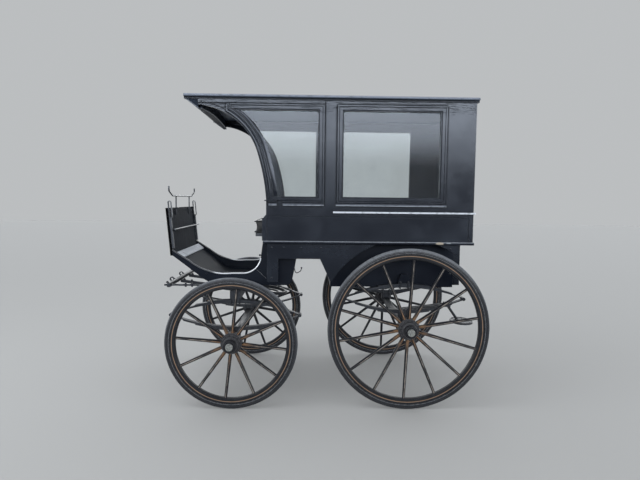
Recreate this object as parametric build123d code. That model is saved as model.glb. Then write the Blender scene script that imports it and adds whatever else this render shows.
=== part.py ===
from build123d import *
import math
import os

# A closed horse-drawn carriage with a covered driving seat. It has a full-lock forecarriage on
# elliptic springs, wooden wheels with rubber tyres, and a rear door with a step.
# Millimetres. X is measured from the front axle and grows to the rear, Y from the middle line,
# Z from the ground. The finished model is moved along X so that its origin lies under its middle.

# Wheels
WHEEL_BASE = 1310
TRACK = 1380
FRONT_WHEEL_R = 490
REAR_WHEEL_R = 602
FRONT_SPOKES = 12
REAR_SPOKES = 14
TYRE_W = 36
TYRE_DEPTH = 34
CHANNEL_T = 5
CHANNEL_LIP = 9
CHANNEL_EDGE = 3
FELLOE_DEPTH = 44
FELLOE_W = 36
SPOKE_FOOT_W = 27
SPOKE_FOOT_D = 36
SPOKE_TIP_W = 21
SPOKE_TIP_D = 26
DISH = 20
NAVE_R = 78
NAVE_INNER = 110
NAVE_OUTER = 110
SPOKE_SET = 6
FIT_GAP = 0.2
RUNNING_GAP = 0.05

# Axles
AXLE_BAR = 40
ARM_R = 20
ARM_REACH = 65
COLLAR_R = 32
COLLAR_T = 10
COLLAR_GAP = 2

# Springs, both halves of each ellipse
LEAF_T = 7
LEAF_COUNT = 4
LEAF_W = 44
LEAF_STEP = 0.19
SPRING_Y = 441
SPRING_CLEAR = 8
FRONT_SPRING_HALF = 500
FRONT_SPRING_HEIGHT = 255
REAR_SPRING_HALF = 468
REAR_SPRING_HEIGHT = 244
FRONT_EYE_Z = 652
REAR_EYE_Z = 790
SPRING_EYE_R = 13
SPRING_PIN_R = 7
SPRING_PAD_LENGTH = 90
SPRING_PAD_T = 6
KNUCKLE_GAP = 0.5
KNUCKLE_CLEAR = 2
BOLT_HEAD = 8
BRACKET_T = 20
BRACKET_H = 70
BRACKET_NECK = 50

# Steering
STEER_PIN_R = 12
STEER_PIN_END = 22
STEER_NUT_R = 22
STEER_NUT_T = 14
RING_R = 220
RING_W = 42
RING_T = 12
RING_GAP = 0.5
BEARER_T = 18
BED_W = 80
BED_HALF = 478
FUTCHELL_Y = 150
FUTCHELL_W = 20
FUTCHELL_H = 24
FUTCHELL_REAR = 380
FUTCHELL_REAR_Z = 752
FUTCHELL_FRONT_Z = 873
SPLINTER_X = -510
SPLINTER_Z = 885
SPLINTER_HALF = 475
SPLINTER_W = 30
SPLINTER_H = 32
SPLINTER_CORNER = 6
EYE_AHEAD = 56
EYE_Y = 158
EYE_R = 19
EYE_BORE_R = 10
EYE_T = 14
EYE_SHANK_R = 6
EYE_JOIN = 3
SHAFT_IRON_Y = 453
SHAFT_IRON_W = 16
SHAFT_IRON_H = 13
SHAFT_IRON_FRONT = -548
SHAFT_IRON_BEND = -300
SHAFT_BOLTS = (-385, -335)
BOLT_R = 8

# Boot, the driver's footwell
BOOT_HALF = 444
BOOT_WALL = 24
BOOT_BOTTOM = 886
BOOT_BOARD = 18
RISER_T = 20
BOOT_REAR = 471
BOOT_RAKE = 32
BOOT_CORNER_R = 50
TOE_START = -100
TOE_CURVE_R = 259
TOE_TURN = 38.4
DASH_T = 18
DASH_TOP = (-519, 1477)
DASH_FOOT = (-484, 1110)
RAIL_R = 6
RAIL_Z = 1572
RAIL_HORN = 73
RAIL_BEND = 112
RAIL_BEND_R = 24
RAIL_POST_R = 5
RAIL_FOOT_Z = 1420
RAIL_POST_Y = 230
DASH_ROD_Z = 1313
DASH_ROD_OUT = 34
DASH_ROD_R = 6
DASH_STUB_R = 4
DASH_STUB_IN = 40
LAMP_IRON_IN = 16
LAMP_IRON_W = 20
LAMP_LOOP_DEPTH = 28
LAMP_LOOP_T = 6
LAMP_LOOP_Z = (1395, 1532)
LAMP_POST_DEPTH = 16
LAMP_POST_FOOT = 1165
TOE_BOARD_L = 66
TOE_BOARD_T = 10

# Body
BODY_HALF = 595
WALL = 28
REAR_FACE = 1795
WAIST_Z = 1222
WAIST_T = 23
WAIST_OUT = 9
WAIST_AHEAD = 30
WELL_RIM = 28
WELL_SIDE = 40
LOWER_INSET = 30
LOWER_FRONT = 252
LOWER_REAR = 1690
CUT_UNDER_Z = 1107
CUT_UNDER_REAR = 650
CUT_UNDER_RAKE = 88
LEG_REAR = 336
LEG_FOOT_Z = 930
SKIRT_Z = 919
ARCH_R = 660
EAVES_Z = 2275
CANOPY_FRONT = -250
PILLAR_W = 58
GLASS_LOW = 1575
GLASS_DROP = 75
PILLAR_FOOT = 28
PILLAR_LEAN = 8
FRONT_WINDOW_REAR = 627
SIDE_WINDOW = (815, 1531)
BODY_FRONT = 216
GLASS_T = 5
FRAME_PROUD = 11
FRAME_W = 46
FRAME_REBATE = (10, 6)
FRAME_GROOVE = (31, 35, 5)
SHOULDER_Z = 1440
SHOULDER_DROP = 35
DRIP_RAIL_Z = 1461
DRIP_RAIL = 12
DRIP_RAIL_FRONT = 742
DRIP_RAIL_DOOR_GAP = 50
SILL_T = 15
SILL_BELOW = 6
SILL_PROUD = 16
SILL_OVER = 8
SILL_BREAK = (324, 369)
FOOT_STRIP_X = 265
FOOT_LEDGE_OVER = 12
FOOT_LEDGE_T = 8
FASCIA_DROP = 24
FASCIA_PROUD = 8
PANEL_TOP = 1430
PANEL_FRONT = 34
PANEL_REAR = 30
PANEL_CORNER_R = 25
PANEL_SUNK = 4
ROOF_EDGE = 35
ROOF_NECK = 15
ROOF_NECK_OVER = 12
ROOF_BOARD = 20
ROOF_RISE = 20
ROOF_SIDE_OVER = 30
ROOF_REAR_OVER = 14
ROOF_FRONT = -350
HEADER_DROP = 62
HEADER_T = 24
HEADER_SET = 12
HEADER_ARCH = 25
FLOOR_BOTTOM = 875
FLOOR_T = 24
BOX_HALF = 420
BOX_FRONT = 736
BOX_REAR = 1700
BOX_WALL = 24

# Rear door
DOOR_HALF = 276
DOOR_GAP = 5
DOOR_T = 24
DOOR_DROP = 150
DOOR_STILE = 75
DOOR_BEAD = 10
DOOR_BEAD_PROUD = 5
DOOR_RAIL = 90
DOOR_PANEL_SUNK = 5
JAMB_W = 29
JAMB_FACE = 1785
HINGE_R = 6.5
HINGE_PIN_R = 3
HINGE_LENGTH = 90
HINGE_LEAF = 42
HINGE_SET = 0.5
HANDLE_Z = 1400
HANDLE_IN = 40
HANDLE_OUT = 34
HANDLE_GRIP = 80
HANDLE_R = 7
HANDLE_NECK_R = 9
HANDLE_TAIL = 12
ROSE_R = 22
ROSE_T = 4
HINGE_LOW = 1050
HINGE_MIDDLE = 1480
HINGE_TOP_DROP = 145

# Seats
SEAT_FRONT = 146
SEAT_BOARD_SET = 20
SEAT_BOARD_Z = 1275
SEAT_BOARD_T = 25
SEAT_RISER_T = 24
CUSHION_T = 102
CUSHION_HOLLOW = 15
CUSHION_GAP = 0.3
CUSHION_SIDE_GAP = 4
CUSHION_REAR_GAP = 10
SEAT_REAR = 650
SEAT_BACK_GAP = 12
SEAT_BACK_DROP = 25
BENCH_INNER = 250
BENCH_REAR_GAP = 6
BENCH_CUSHION_T = 70
BENCH_CUSHION_R = 14

# Rear step
STEP_Z = 500
STEP_X = 1905
STEP_L = 190
STEP_W = 260
STEP_T = 12
STEP_BLOCK = (1775, 655)
STEP_BLOCK_SIZE = (44, 90, 32)
STEP_ROD_R = 8
STEP_ROD_Y = 32
STEP_ROD_SET = 30
STEP_STAY_Y = (15, 35)
STEP_STAY_H = 20

# Sizes that follow from those above
AXLE_RAIL = TRACK / 2
REAR_AXLE_X = WHEEL_BASE
WAIST_TOP = WAIST_Z + WAIST_T
WALL_IN = BODY_HALF - WALL
LOWER_OUT = BODY_HALF - LOWER_INSET
LOWER_IN = LOWER_OUT - WALL
UPPER_RING_Z = BOOT_BOTTOM - BEARER_T - RING_T
LOWER_RING_Z = UPPER_RING_Z - RING_GAP - RING_T
FRONT_SPRING_TOP = FRONT_EYE_Z + FRONT_SPRING_HEIGHT / 2
OPEN_HALF = DOOR_HALF + DOOR_GAP
GLASS_TOP = EAVES_Z - GLASS_DROP
DOOR_TOP = EAVES_Z - DOOR_DROP
HEADER_LOW = EAVES_Z - HEADER_DROP
FRAME_LOW = GLASS_LOW - FRAME_W
HINGE_HEIGHTS = (HINGE_LOW, HINGE_MIDDLE, DOOR_TOP - HINGE_TOP_DROP)
REAR_SPRING_Y = BOX_HALF + SPRING_CLEAR + LEAF_W / 2
FRONT_TIP = SPLINTER_X - EYE_AHEAD - EYE_R
REAR_TIP = STEP_X + STEP_L / 2
X_SHIFT = -(FRONT_TIP + REAR_TIP) / 2


def corner(x, z):
    """A point of an upright outline."""
    return Vector(x, 0, z)


def outline(path):
    """A face in the X-Z plane. Two numbers are a corner, four are an arc's middle and end."""
    edges = []
    here = path[0]
    for row in path[1:]:
        end = row[-2:]
        if len(row) == 4:
            edges.append(ThreePointArc(corner(*here), corner(*row[:2]), corner(*end)))
        else:
            edges.append(Line(corner(*here), corner(*end)))
        here = end
    edges.append(Line(corner(*here), corner(*path[0])))
    return make_face(Wire(edges))


def plate(path, y_from, y_to):
    """An upright plate with the given outline, between two distances from the middle line."""
    return Pos(0, y_from, 0) * extrude(outline(path), amount=y_to - y_from, dir=(0, 1, 0))


def block(x, y, z):
    """A box from its lowest and highest value along each axis."""
    size = (x[1] - x[0], y[1] - y[0], z[1] - z[0])
    return Pos(sum(x) / 2, sum(y) / 2, sum(z) / 2) * Box(*size)


def rod(start, end, radius):
    """A round bar between two points."""
    a, b = Vector(*start), Vector(*end)
    return Plane(origin=(a + b) / 2, z_dir=b - a) * Cylinder(radius, (b - a).length)


def cross_rod(x, z, y_from, y_to, radius):
    """A round bar along Y."""
    return rod((x, y_from, z), (x, y_to, z), radius)


def mirrored(piece):
    """The same piece on the other side of the middle line."""
    return mirror(piece, about=Plane.XZ)


def both(*pieces):
    """Pieces of one side together with their twins on the other."""
    solids = []
    for piece in pieces:
        solids += piece.solids() + mirrored(piece).solids()
    return Compound(solids)


def shifted(points, distance):
    """Points moved sideways from the line that they make, towards its left."""
    moved = []
    for i, (x, z) in enumerate(points):
        before = points[max(i - 1, 0)]
        after = points[min(i + 1, len(points) - 1)]
        dx, dz = after[0] - before[0], after[1] - before[1]
        length = math.hypot(dx, dz)
        moved.append((x - dz / length * distance, z + dx / length * distance))
    return moved


def curve_up(x, z, radius, turn, way):
    """Middle and end of an arc that leaves a level line at x, z and turns upwards."""
    found = []
    for share in (0.5, 1):
        angle = math.radians(turn * share)
        found.append((x + way * radius * math.sin(angle), z + radius * (1 - math.cos(angle))))
    return found


def two_arcs(points):
    """Outline rows for two arcs through five points."""
    return [points[0], points[1] + points[2], points[3] + points[4]]


PARTS = {}


def keep(name, shape):
    """Names a piece of the carriage."""
    PARTS[name] = shape


# Wheels. Each is drawn about its own axis, which is Y, with its outer face towards +Y.

def tyre(radius):
    """Rubber tyre, flat in its channel and round outside."""
    base = radius - TYRE_DEPTH + FIT_GAP
    half = TYRE_W / 2 - FIT_GAP
    shoulder = radius - TYRE_DEPTH / 2
    profile = Polyline((shoulder, half), (base, half), (base, -half), (shoulder, -half))
    tread = ThreePointArc((shoulder, -half), (radius, 0), (shoulder, half))
    return revolve(make_face(Wire([*profile.edges(), tread])), Axis.Y)


def rim(radius):
    """Wooden felloe with the steel channel round it that holds the tyre."""
    floor = radius - TYRE_DEPTH
    lip = floor + CHANNEL_LIP
    wood = floor - CHANNEL_T
    inner = wood - FELLOE_DEPTH
    lip_out = TYRE_W / 2 + CHANNEL_EDGE
    half = FELLOE_W / 2
    bevel = FELLOE_W / 5
    side = [(floor, TYRE_W / 2), (lip, TYRE_W / 2), (lip, lip_out), (wood, lip_out), (wood, half),
            (inner + bevel, half), (inner, half - bevel)]
    other = [(x, -y) for x, y in reversed(side)]
    return revolve(make_face(Polyline(*side, *other, close=True)), Axis.Y)


def nave():
    """Stepped hub with its rings, open inside for the axle arm and closed by its cap."""
    # distance along the axle from the rim's middle, radius there
    steps = [
        (-NAVE_INNER, 44), (-92, 44), (-92, 56), (-58, 60), (-58, NAVE_R), (8, NAVE_R),
        (8, 70), (22, 67), (22, 60), (40, 58), (40, 62), (48, 62), (48, 54), (62, 52),
        (62, 48), (88, 46), (88, 38), (94, 38), (94, 26), (NAVE_OUTER - 4, 26), (NAVE_OUTER, 20),
    ]
    profile = [(0, -NAVE_INNER)] + [(r, y) for y, r in steps] + [(0, NAVE_OUTER)]
    body = revolve(make_face(Polyline(*profile, close=True)), Axis.Y)
    bore_end = ARM_REACH + 8
    bore = cross_rod(0, 0, -NAVE_INNER - 1, bore_end, ARM_R + RUNNING_GAP)
    return body - bore


def spokes(radius, count, turn):
    """Spokes that spread from the nave to the felloe, each ending on both."""
    foot = NAVE_R - SPOKE_SET
    tip = radius - TYRE_DEPTH - CHANNEL_T - FELLOE_DEPTH
    lean = DISH / (tip - NAVE_R)
    low = Plane(origin=(foot, -DISH, 0), x_dir=(0, 1, 0), z_dir=(1, lean, 0)) \
        * Ellipse(SPOKE_FOOT_D / 2, SPOKE_FOOT_W / 2)
    high = Plane(origin=(tip + SPOKE_SET, 0, 0), x_dir=(0, 1, 0), z_dir=(1, lean, 0)) \
        * Ellipse(SPOKE_TIP_D / 2, SPOKE_TIP_W / 2)
    one = loft([low.face(), high.face()])
    between = Cylinder(tip - FIT_GAP, NAVE_INNER + NAVE_OUTER)
    between -= Cylinder(NAVE_R + FIT_GAP, NAVE_INNER + NAVE_OUTER)
    one = one & (Rot(90, 0, 0) * between)
    return Compound([Rot(0, 360 * i / count - turn, 0) * one.solid() for i in range(count)])


def make_wheels():
    # name, X of the axle, radius, number of spokes, and the turn in degrees at which the left
    # and the right wheel have come to rest
    axles = [
        ("front", 0, FRONT_WHEEL_R, FRONT_SPOKES, 24.2, 19.5),
        ("rear", REAR_AXLE_X, REAR_WHEEL_R, REAR_SPOKES, 9.8, 12.3),
    ]
    for axle, x, radius, count, left_turn, right_turn in axles:
        place = Pos(x, AXLE_RAIL, radius)
        for kind, piece in (("tyre", tyre(radius)), ("rim", rim(radius)), ("nave", nave())):
            keep(f"{axle}_right_{kind}", place * piece)
            keep(f"{axle}_left_{kind}", mirrored(place * piece))
        keep(f"{axle}_right_spokes", place * spokes(radius, count, right_turn))
        keep(f"{axle}_left_spokes", mirrored(place * spokes(radius, count, left_turn)))


# Axles and springs

def axle(x, z):
    """Square iron bar with a collar and a round arm at each end."""
    arm_end = AXLE_RAIL + ARM_REACH
    collar_out = AXLE_RAIL - NAVE_INNER - COLLAR_GAP
    collar_in = collar_out - COLLAR_T
    half = AXLE_BAR / 2
    bar = block((x - half, x + half), (-collar_in, collar_in), (z - half, z + half))
    shape = bar
    for side in (-1, 1):
        shape += cross_rod(x, z, side * collar_in, side * collar_out, COLLAR_R)
        shape += cross_rod(x, z, side * collar_out, side * arm_end, ARM_R)
    return shape


def half_spring(x, eye_z, half_length, height, width_y, up):
    """Bow of stepped leaves, the longest with an eye at each end. up is 1 above, -1 below."""
    stack = LEAF_T * LEAF_COUNT
    rise = height / 2 - stack - SPRING_PAD_T
    radius = (half_length ** 2 + rise ** 2) / (2 * rise)
    centre = eye_z + up * (rise - radius)
    full = math.asin(half_length / radius)
    bow = None
    for leaf in range(LEAF_COUNT):
        inner = radius + leaf * LEAF_T
        outer = inner + LEAF_T
        spread = full * (1 - LEAF_STEP * leaf) - 0.5 * SPRING_EYE_R / radius
        ends = []
        for r in (inner, outer):
            side = (x + r * math.sin(spread), centre + up * r * math.cos(spread))
            ends.append(((2 * x - side[0], side[1]), (x, centre + up * r), side))
        (a, b, c), (d, e, f) = ends
        leaf_shape = plate([a, b + c, f, e + d], -LEAF_W / 2, LEAF_W / 2)
        bow = leaf_shape if bow is None else bow + leaf_shape
    top = eye_z + up * height / 2
    pad_z = sorted((top, top - up * (SPRING_PAD_T + KNUCKLE_CLEAR)))
    bow += block((x - SPRING_PAD_LENGTH / 2, x + SPRING_PAD_LENGTH / 2), (-LEAF_W / 2, LEAF_W / 2), pad_z)
    third = LEAF_W / 6
    lugs = [(-third, third)] if up > 0 else [(-3 * third, -third - KNUCKLE_GAP),
                                             (third + KNUCKLE_GAP, 3 * third)]
    gaps = [(-3 * third - 1, -third), (third, 3 * third + 1)] if up > 0 else [
        (-third - KNUCKLE_GAP, third + KNUCKLE_GAP)]
    for end in (-1, 1):
        eye_x = x + end * half_length
        clear = SPRING_EYE_R + KNUCKLE_CLEAR
        for y_from, y_to in gaps:
            bow -= cross_rod(eye_x, eye_z, y_from, y_to, clear)
        for y_from, y_to in lugs:
            bow += cross_rod(eye_x, eye_z, y_from, y_to, SPRING_EYE_R)
        bow -= cross_rod(eye_x, eye_z, -LEAF_W, LEAF_W, SPRING_PIN_R + RUNNING_GAP)
    return Pos(0, width_y, 0) * bow


def spring_pins(x, eye_z, half_length, width_y):
    """The bolt through each pair of eyes, with its head and nut."""
    pins = []
    grip = LEAF_W / 2 + KNUCKLE_GAP
    for end in (-1, 1):
        eye_x = x + end * half_length
        pin = cross_rod(eye_x, eye_z, -grip - BOLT_HEAD, grip + BOLT_HEAD, SPRING_PIN_R)
        for side in (-1, 1):
            pin += cross_rod(eye_x, eye_z, side * grip, side * (grip + BOLT_HEAD), SPRING_EYE_R)
        pins.append((Pos(0, width_y, 0) * pin).solid())
    return Compound(pins)


def make_springs():
    # name, X of the axle, Z of the eyes, half length, height, Y
    table = [
        ("front", 0, FRONT_EYE_Z, FRONT_SPRING_HALF, FRONT_SPRING_HEIGHT, SPRING_Y),
        ("rear", REAR_AXLE_X, REAR_EYE_Z, REAR_SPRING_HALF, REAR_SPRING_HEIGHT, REAR_SPRING_Y),
    ]
    for name, x, eye_z, half_length, height, y in table:
        keep(f"{name}_springs_upper", both(half_spring(x, eye_z, half_length, height, y, 1)))
        lower = half_spring(x, eye_z, half_length, height, y, -1)
        keep(f"{name}_springs_lower", both(lower, spring_pins(x, eye_z, half_length, y)))
    front_seat = FRONT_WHEEL_R + AXLE_BAR / 2
    rear_seat = REAR_WHEEL_R + AXLE_BAR / 2
    front_low = FRONT_EYE_Z - FRONT_SPRING_HEIGHT / 2
    rear_low = REAR_EYE_Z - REAR_SPRING_HEIGHT / 2
    half_pad = SPRING_PAD_LENGTH / 2
    half_leaf = LEAF_W / 2
    front_pads = both(block((-half_pad, half_pad), (SPRING_Y - half_leaf, SPRING_Y + half_leaf),
                            (front_seat, front_low)))
    rear_pads = both(block((REAR_AXLE_X - half_pad, REAR_AXLE_X + half_pad),
                           (REAR_SPRING_Y - half_leaf, REAR_SPRING_Y + half_leaf), (rear_seat, rear_low)))
    keep("front_axle", axle(0, FRONT_WHEEL_R) + front_pads)
    keep("rear_axle", axle(REAR_AXLE_X, REAR_WHEEL_R) + rear_pads)
    rear_top = REAR_EYE_Z + REAR_SPRING_HEIGHT / 2
    slab = rear_top + BRACKET_T
    high = rear_top + BRACKET_H
    neck = BRACKET_NECK / 2
    bracket = [(REAR_AXLE_X - half_pad, rear_top), (REAR_AXLE_X + half_pad, rear_top),
               (REAR_AXLE_X + half_pad, slab), (REAR_AXLE_X + neck, high),
               (REAR_AXLE_X - neck, high), (REAR_AXLE_X - half_pad, slab)]
    keep("rear_spring_brackets", both(plate(bracket, BOX_HALF, REAR_SPRING_Y + half_leaf)))


# Forecarriage

def ring(z):
    """Flat iron ring of the fifth wheel."""
    shape = Cylinder(RING_R, RING_T) - Cylinder(RING_R - RING_W, RING_T)
    return Pos(0, 0, z + RING_T / 2) * shape


def make_turntable():
    low = BOOT_BOTTOM - BEARER_T
    fore_and_aft = block((-RING_R, RING_R), (-BED_W / 2, BED_W / 2), (low, BOOT_BOTTOM))
    across = block((-BED_W / 2, BED_W / 2), (-RING_R, RING_R), (low, BOOT_BOTTOM))
    pin_end = FRONT_SPRING_TOP - STEER_PIN_END
    king = rod((0, 0, pin_end), (0, 0, low), STEER_PIN_R)
    nut = Pos(0, 0, pin_end) * extrude(RegularPolygon(STEER_NUT_R, 6), amount=STEER_NUT_T)
    keep("upper_fifth_wheel", fore_and_aft + across + ring(UPPER_RING_Z) + king + nut)
    keep("lower_fifth_wheel", ring(LOWER_RING_Z))


def futchell_plane():
    """The sloping plane in which the futchell loop lies, with its X along the slope."""
    run = Vector(FUTCHELL_REAR - SPLINTER_X, 0, FUTCHELL_REAR_Z - FUTCHELL_FRONT_Z)
    return Plane(origin=(SPLINTER_X, 0, FUTCHELL_FRONT_Z), x_dir=run, z_dir=(-run.Z, 0, run.X))


def make_forecarriage():
    slope = futchell_plane()
    length = math.hypot(FUTCHELL_REAR - SPLINTER_X, FUTCHELL_REAR_Z - FUTCHELL_FRONT_Z)
    wide = 2 * FUTCHELL_Y + FUTCHELL_W
    narrow = 2 * FUTCHELL_Y - FUTCHELL_W
    start = SPLINTER_W / 2
    straight = length - wide / 2
    outer = Pos((start + straight) / 2, 0) * Rectangle(straight - start, wide)
    outer += Pos(straight, 0) * Circle(wide / 2)
    inner = Pos(straight / 2, 0) * Rectangle(straight + 1, narrow) + Pos(straight, 0) * Circle(narrow / 2)
    loop = extrude(slope * (outer - inner), amount=FUTCHELL_H / 2, both=True)
    splinter_rear = SPLINTER_X + SPLINTER_W / 2
    loop -= block((SPLINTER_X - wide, splinter_rear), (-wide, wide), (0, EAVES_Z))
    keep("futchell_loop", loop)

    bed = block((-BED_W / 2, BED_W / 2), (-BED_HALF, BED_HALF), (FRONT_SPRING_TOP, LOWER_RING_Z))
    bed -= loop
    bed -= rod((0, 0, 0), (0, 0, BOOT_BOTTOM), STEER_PIN_R + RUNNING_GAP)
    keep("lower_bed", bed)

    half_w, half_h = SPLINTER_W / 2, SPLINTER_H / 2
    bar = block((SPLINTER_X - half_w, SPLINTER_X + half_w), (-SPLINTER_HALF, SPLINTER_HALF),
                (SPLINTER_Z - half_h, SPLINTER_Z + half_h))
    bar = chamfer(bar.edges().filter_by(Axis.Y), SPLINTER_CORNER)
    eye_x = SPLINTER_X - EYE_AHEAD
    for side in (-1, 1):
        y = side * EYE_Y
        bar += cross_rod(eye_x, SPLINTER_Z, y - EYE_T / 2, y + EYE_T / 2, EYE_R)
        bar += rod((eye_x + EYE_R - EYE_JOIN, y, SPLINTER_Z), (SPLINTER_X, y, SPLINTER_Z), EYE_SHANK_R)
        bar -= cross_rod(eye_x, SPLINTER_Z, y - EYE_T, y + EYE_T, EYE_BORE_R)
    keep("splinter_bar", bar)

    top = LOWER_RING_Z
    high = SPLINTER_Z + SHAFT_IRON_H / 2
    low = high - SHAFT_IRON_H
    iron = plate([(SHAFT_IRON_FRONT, low), (SHAFT_IRON_BEND, low), (-BED_W / 2, top),
                  (BED_W / 2, top), (BED_W / 2, top + SHAFT_IRON_H),
                  (-BED_W / 2, top + SHAFT_IRON_H), (SHAFT_IRON_BEND, high),
                  (SHAFT_IRON_FRONT, high)],
                 SHAFT_IRON_Y - SHAFT_IRON_W / 2, SHAFT_IRON_Y + SHAFT_IRON_W / 2)
    for x in SHAFT_BOLTS:
        iron += rod((x, SHAFT_IRON_Y, low - BOLT_R), (x, SHAFT_IRON_Y, high + BOLT_R), BOLT_R)
    iron -= bar
    keep("shaft_irons", both(iron))


# Boot, dashboard and its irons

RIM_LINE = [(-487, 1155), (-360, 1074), (-199, 990, -30, 977), (60, 978), (165, 1030, 196, 1121),
            (210, WAIST_Z)]


def make_boot():
    board = BOOT_BOARD
    # the underside from its rear top corner round to the foot of the dashboard
    underside = [(BOOT_REAR, CUT_UNDER_Z), (BOOT_REAR - BOOT_RAKE, BOOT_BOTTOM + BOOT_CORNER_R)]
    flat_end = BOOT_REAR - BOOT_RAKE - BOOT_CORNER_R
    low = curve_up(flat_end, BOOT_BOTTOM, BOOT_CORNER_R, 90, 1)
    underside += [low[0] + (flat_end, BOOT_BOTTOM), (TOE_START, BOOT_BOTTOM)]
    toe = curve_up(TOE_START, BOOT_BOTTOM, TOE_CURVE_R, TOE_TURN, -1)
    underside += [toe[0] + toe[1], DASH_FOOT]
    side = RIM_LINE + [(LOWER_FRONT, WAIST_Z), (LOWER_FRONT, CUT_UNDER_Z)] + underside
    keep("boot_sides", both(plate(side, BOOT_HALF - BOOT_WALL, BOOT_HALF)))

    # the board's upper face, back from the dashboard
    inner_toe = curve_up(TOE_START, BOOT_BOTTOM + board, TOE_CURVE_R - board, TOE_TURN, -1)
    inner_low = curve_up(flat_end, BOOT_BOTTOM + board, BOOT_CORNER_R - board, 90, 1)
    across = (inner_toe[1][0] - toe[1][0], inner_toe[1][1] - toe[1][1])
    upper = [(DASH_FOOT[0] + across[0], DASH_FOOT[1] + across[1]), inner_toe[1],
             inner_toe[0] + (TOE_START, BOOT_BOTTOM + board), (flat_end, BOOT_BOTTOM + board),
             inner_low[0] + inner_low[1], (BOOT_REAR - board, CUT_UNDER_Z)]
    keep("boot_floor", plate(underside + upper, -(BOOT_HALF - BOOT_WALL), BOOT_HALF - BOOT_WALL))

    # a loose plank for the driver's toes, on the slope behind the dashboard
    top = corner(*upper[0])
    along = corner(*upper[1]) - top
    slope = Plane(origin=top, x_dir=along, z_dir=(-along.Z, 0, along.X))
    width = 2 * (BOOT_HALF - BOOT_WALL)
    plank = Pos(TOE_BOARD_L / 2, 0, TOE_BOARD_T / 2) * Box(TOE_BOARD_L, width, TOE_BOARD_T)
    keep("toe_board", slope * plank)

    riser = block((LOWER_FRONT - RISER_T, LOWER_FRONT), (-(BOOT_HALF - BOOT_WALL), BOOT_HALF - BOOT_WALL),
                  (BOOT_BOTTOM + board, WAIST_Z))
    keep("boot_riser", riser)


def lamp_irons():
    """Two upright irons behind the board, each with a long loop at its top for a lamp's shank."""
    rise = Vector(DASH_TOP[0] - DASH_FOOT[0], 0, DASH_TOP[1] - DASH_FOOT[1]).normalized()
    board = Plane(origin=(DASH_FOOT[0], 0, DASH_FOOT[1]), x_dir=rise, z_dir=(0, -1, 0))
    foot, low, high = [(z - DASH_FOOT[1]) / rise.Z for z in (LAMP_POST_FOOT, *LAMP_LOOP_Z)]
    depth, length = LAMP_LOOP_DEPTH, high - low
    loop = SlotOverall(length, depth) - SlotOverall(length - 2 * LAMP_LOOP_T, depth - 2 * LAMP_LOOP_T)
    loop = Pos((low + high) / 2, -FIT_GAP - depth / 2) * loop
    post = Rectangle(low + LAMP_LOOP_T - foot, LAMP_POST_DEPTH)
    loop += Pos((low + LAMP_LOOP_T + foot) / 2, -FIT_GAP - LAMP_POST_DEPTH / 2) * post
    iron = extrude(board * loop, amount=LAMP_IRON_W / 2, both=True)
    return both(Pos(0, BOOT_HALF - LAMP_IRON_IN, 0) * iron)


def make_dashboard():
    lean = DASH_T
    path = [DASH_FOOT, (DASH_FOOT[0] - lean, DASH_FOOT[1]), (DASH_TOP[0] - lean, DASH_TOP[1]), DASH_TOP]
    keep("dashboard", plate(path, -BOOT_HALF, BOOT_HALF))

    slope = (DASH_TOP[0] - DASH_FOOT[0]) / (DASH_TOP[1] - DASH_FOOT[1])

    def dash_face(z):
        return DASH_FOOT[0] + (z - DASH_FOOT[1]) * slope

    rail_x = dash_face(RAIL_FOOT_Z) + RAIL_POST_R + FIT_GAP
    rise = [(-BOOT_HALF, RAIL_Z + RAIL_HORN), (-BOOT_HALF, RAIL_Z + RAIL_HORN / 2),
            (-BOOT_HALF + RAIL_BEND, RAIL_Z)]
    points = [Vector(rail_x, y, z) for y, z in rise]
    points += [Vector(rail_x, -y, z) for y, z in reversed(rise)]
    line = FilletPolyline(*points, radius=RAIL_BEND_R)
    rail = sweep(Plane(origin=line @ 0, z_dir=line % 0) * Circle(RAIL_R), path=line)
    for side in (-1, 1):
        y = side * RAIL_POST_Y
        rail += rod((rail_x, y, RAIL_FOOT_Z), (rail_x, y, RAIL_Z), RAIL_POST_R)
    rod_x = dash_face(DASH_ROD_Z) + DASH_ROD_OUT
    foot_rail = cross_rod(rod_x, DASH_ROD_Z, -BOOT_HALF + DASH_ROD_R, BOOT_HALF - DASH_ROD_R, DASH_ROD_R)
    stub_x = dash_face(DASH_ROD_Z - DASH_STUB_R) + FIT_GAP
    for side in (-1, 1):
        y = side * (BOOT_HALF - DASH_STUB_IN)
        foot_rail += rod((stub_x, y, DASH_ROD_Z), (rod_x, y, DASH_ROD_Z), DASH_STUB_R)
    irons = rail.solids() + foot_rail.solids() + lamp_irons().solids()
    keep("dash_irons", Compound(irons))


# Body shell

# X of the canopy pillar's front edge, and how far up it is from the pillar's foot to the eaves
PILLAR_CURVE = [(CANOPY_FRONT, 0.946), (20, 0.804), (186, 0.452), (224, 0.238), (246, 0)]
PILLAR_LOW = GLASS_LOW - PILLAR_FOOT
PILLAR_EDGE = [(x, PILLAR_LOW + up * (EAVES_Z - PILLAR_LOW)) for x, up in PILLAR_CURVE]


def window_tool(x_from, x_to, grow, edge_shift, thick):
    """The shape of a side window's opening, cut off in front by a line beside the pillar's edge."""
    y_from, y_to = thick
    tool = block((x_from - grow, x_to + grow), (y_from, y_to), (GLASS_LOW - grow, GLASS_TOP + grow))
    if edge_shift is None:
        return tool
    edge = shifted(PILLAR_EDGE, edge_shift)
    first, last = edge[0], edge[-1]
    behind = [first] + two_arcs(edge)[1:]
    behind += [(last[0] + PILLAR_LEAN, 0), (REAR_FACE, 0), (REAR_FACE, EAVES_Z), (first[0], EAVES_Z)]
    return tool & plate(behind, y_from, y_to)


def side_windows(grow, edge_shift, thick):
    """Both window shapes of one side: the one beside the driver, then the one beside the cabin."""
    front = window_tool(0, FRONT_WINDOW_REAR, grow, edge_shift, thick)
    rear = window_tool(*SIDE_WINDOW, grow, None, thick)
    return [front, rear]


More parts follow.
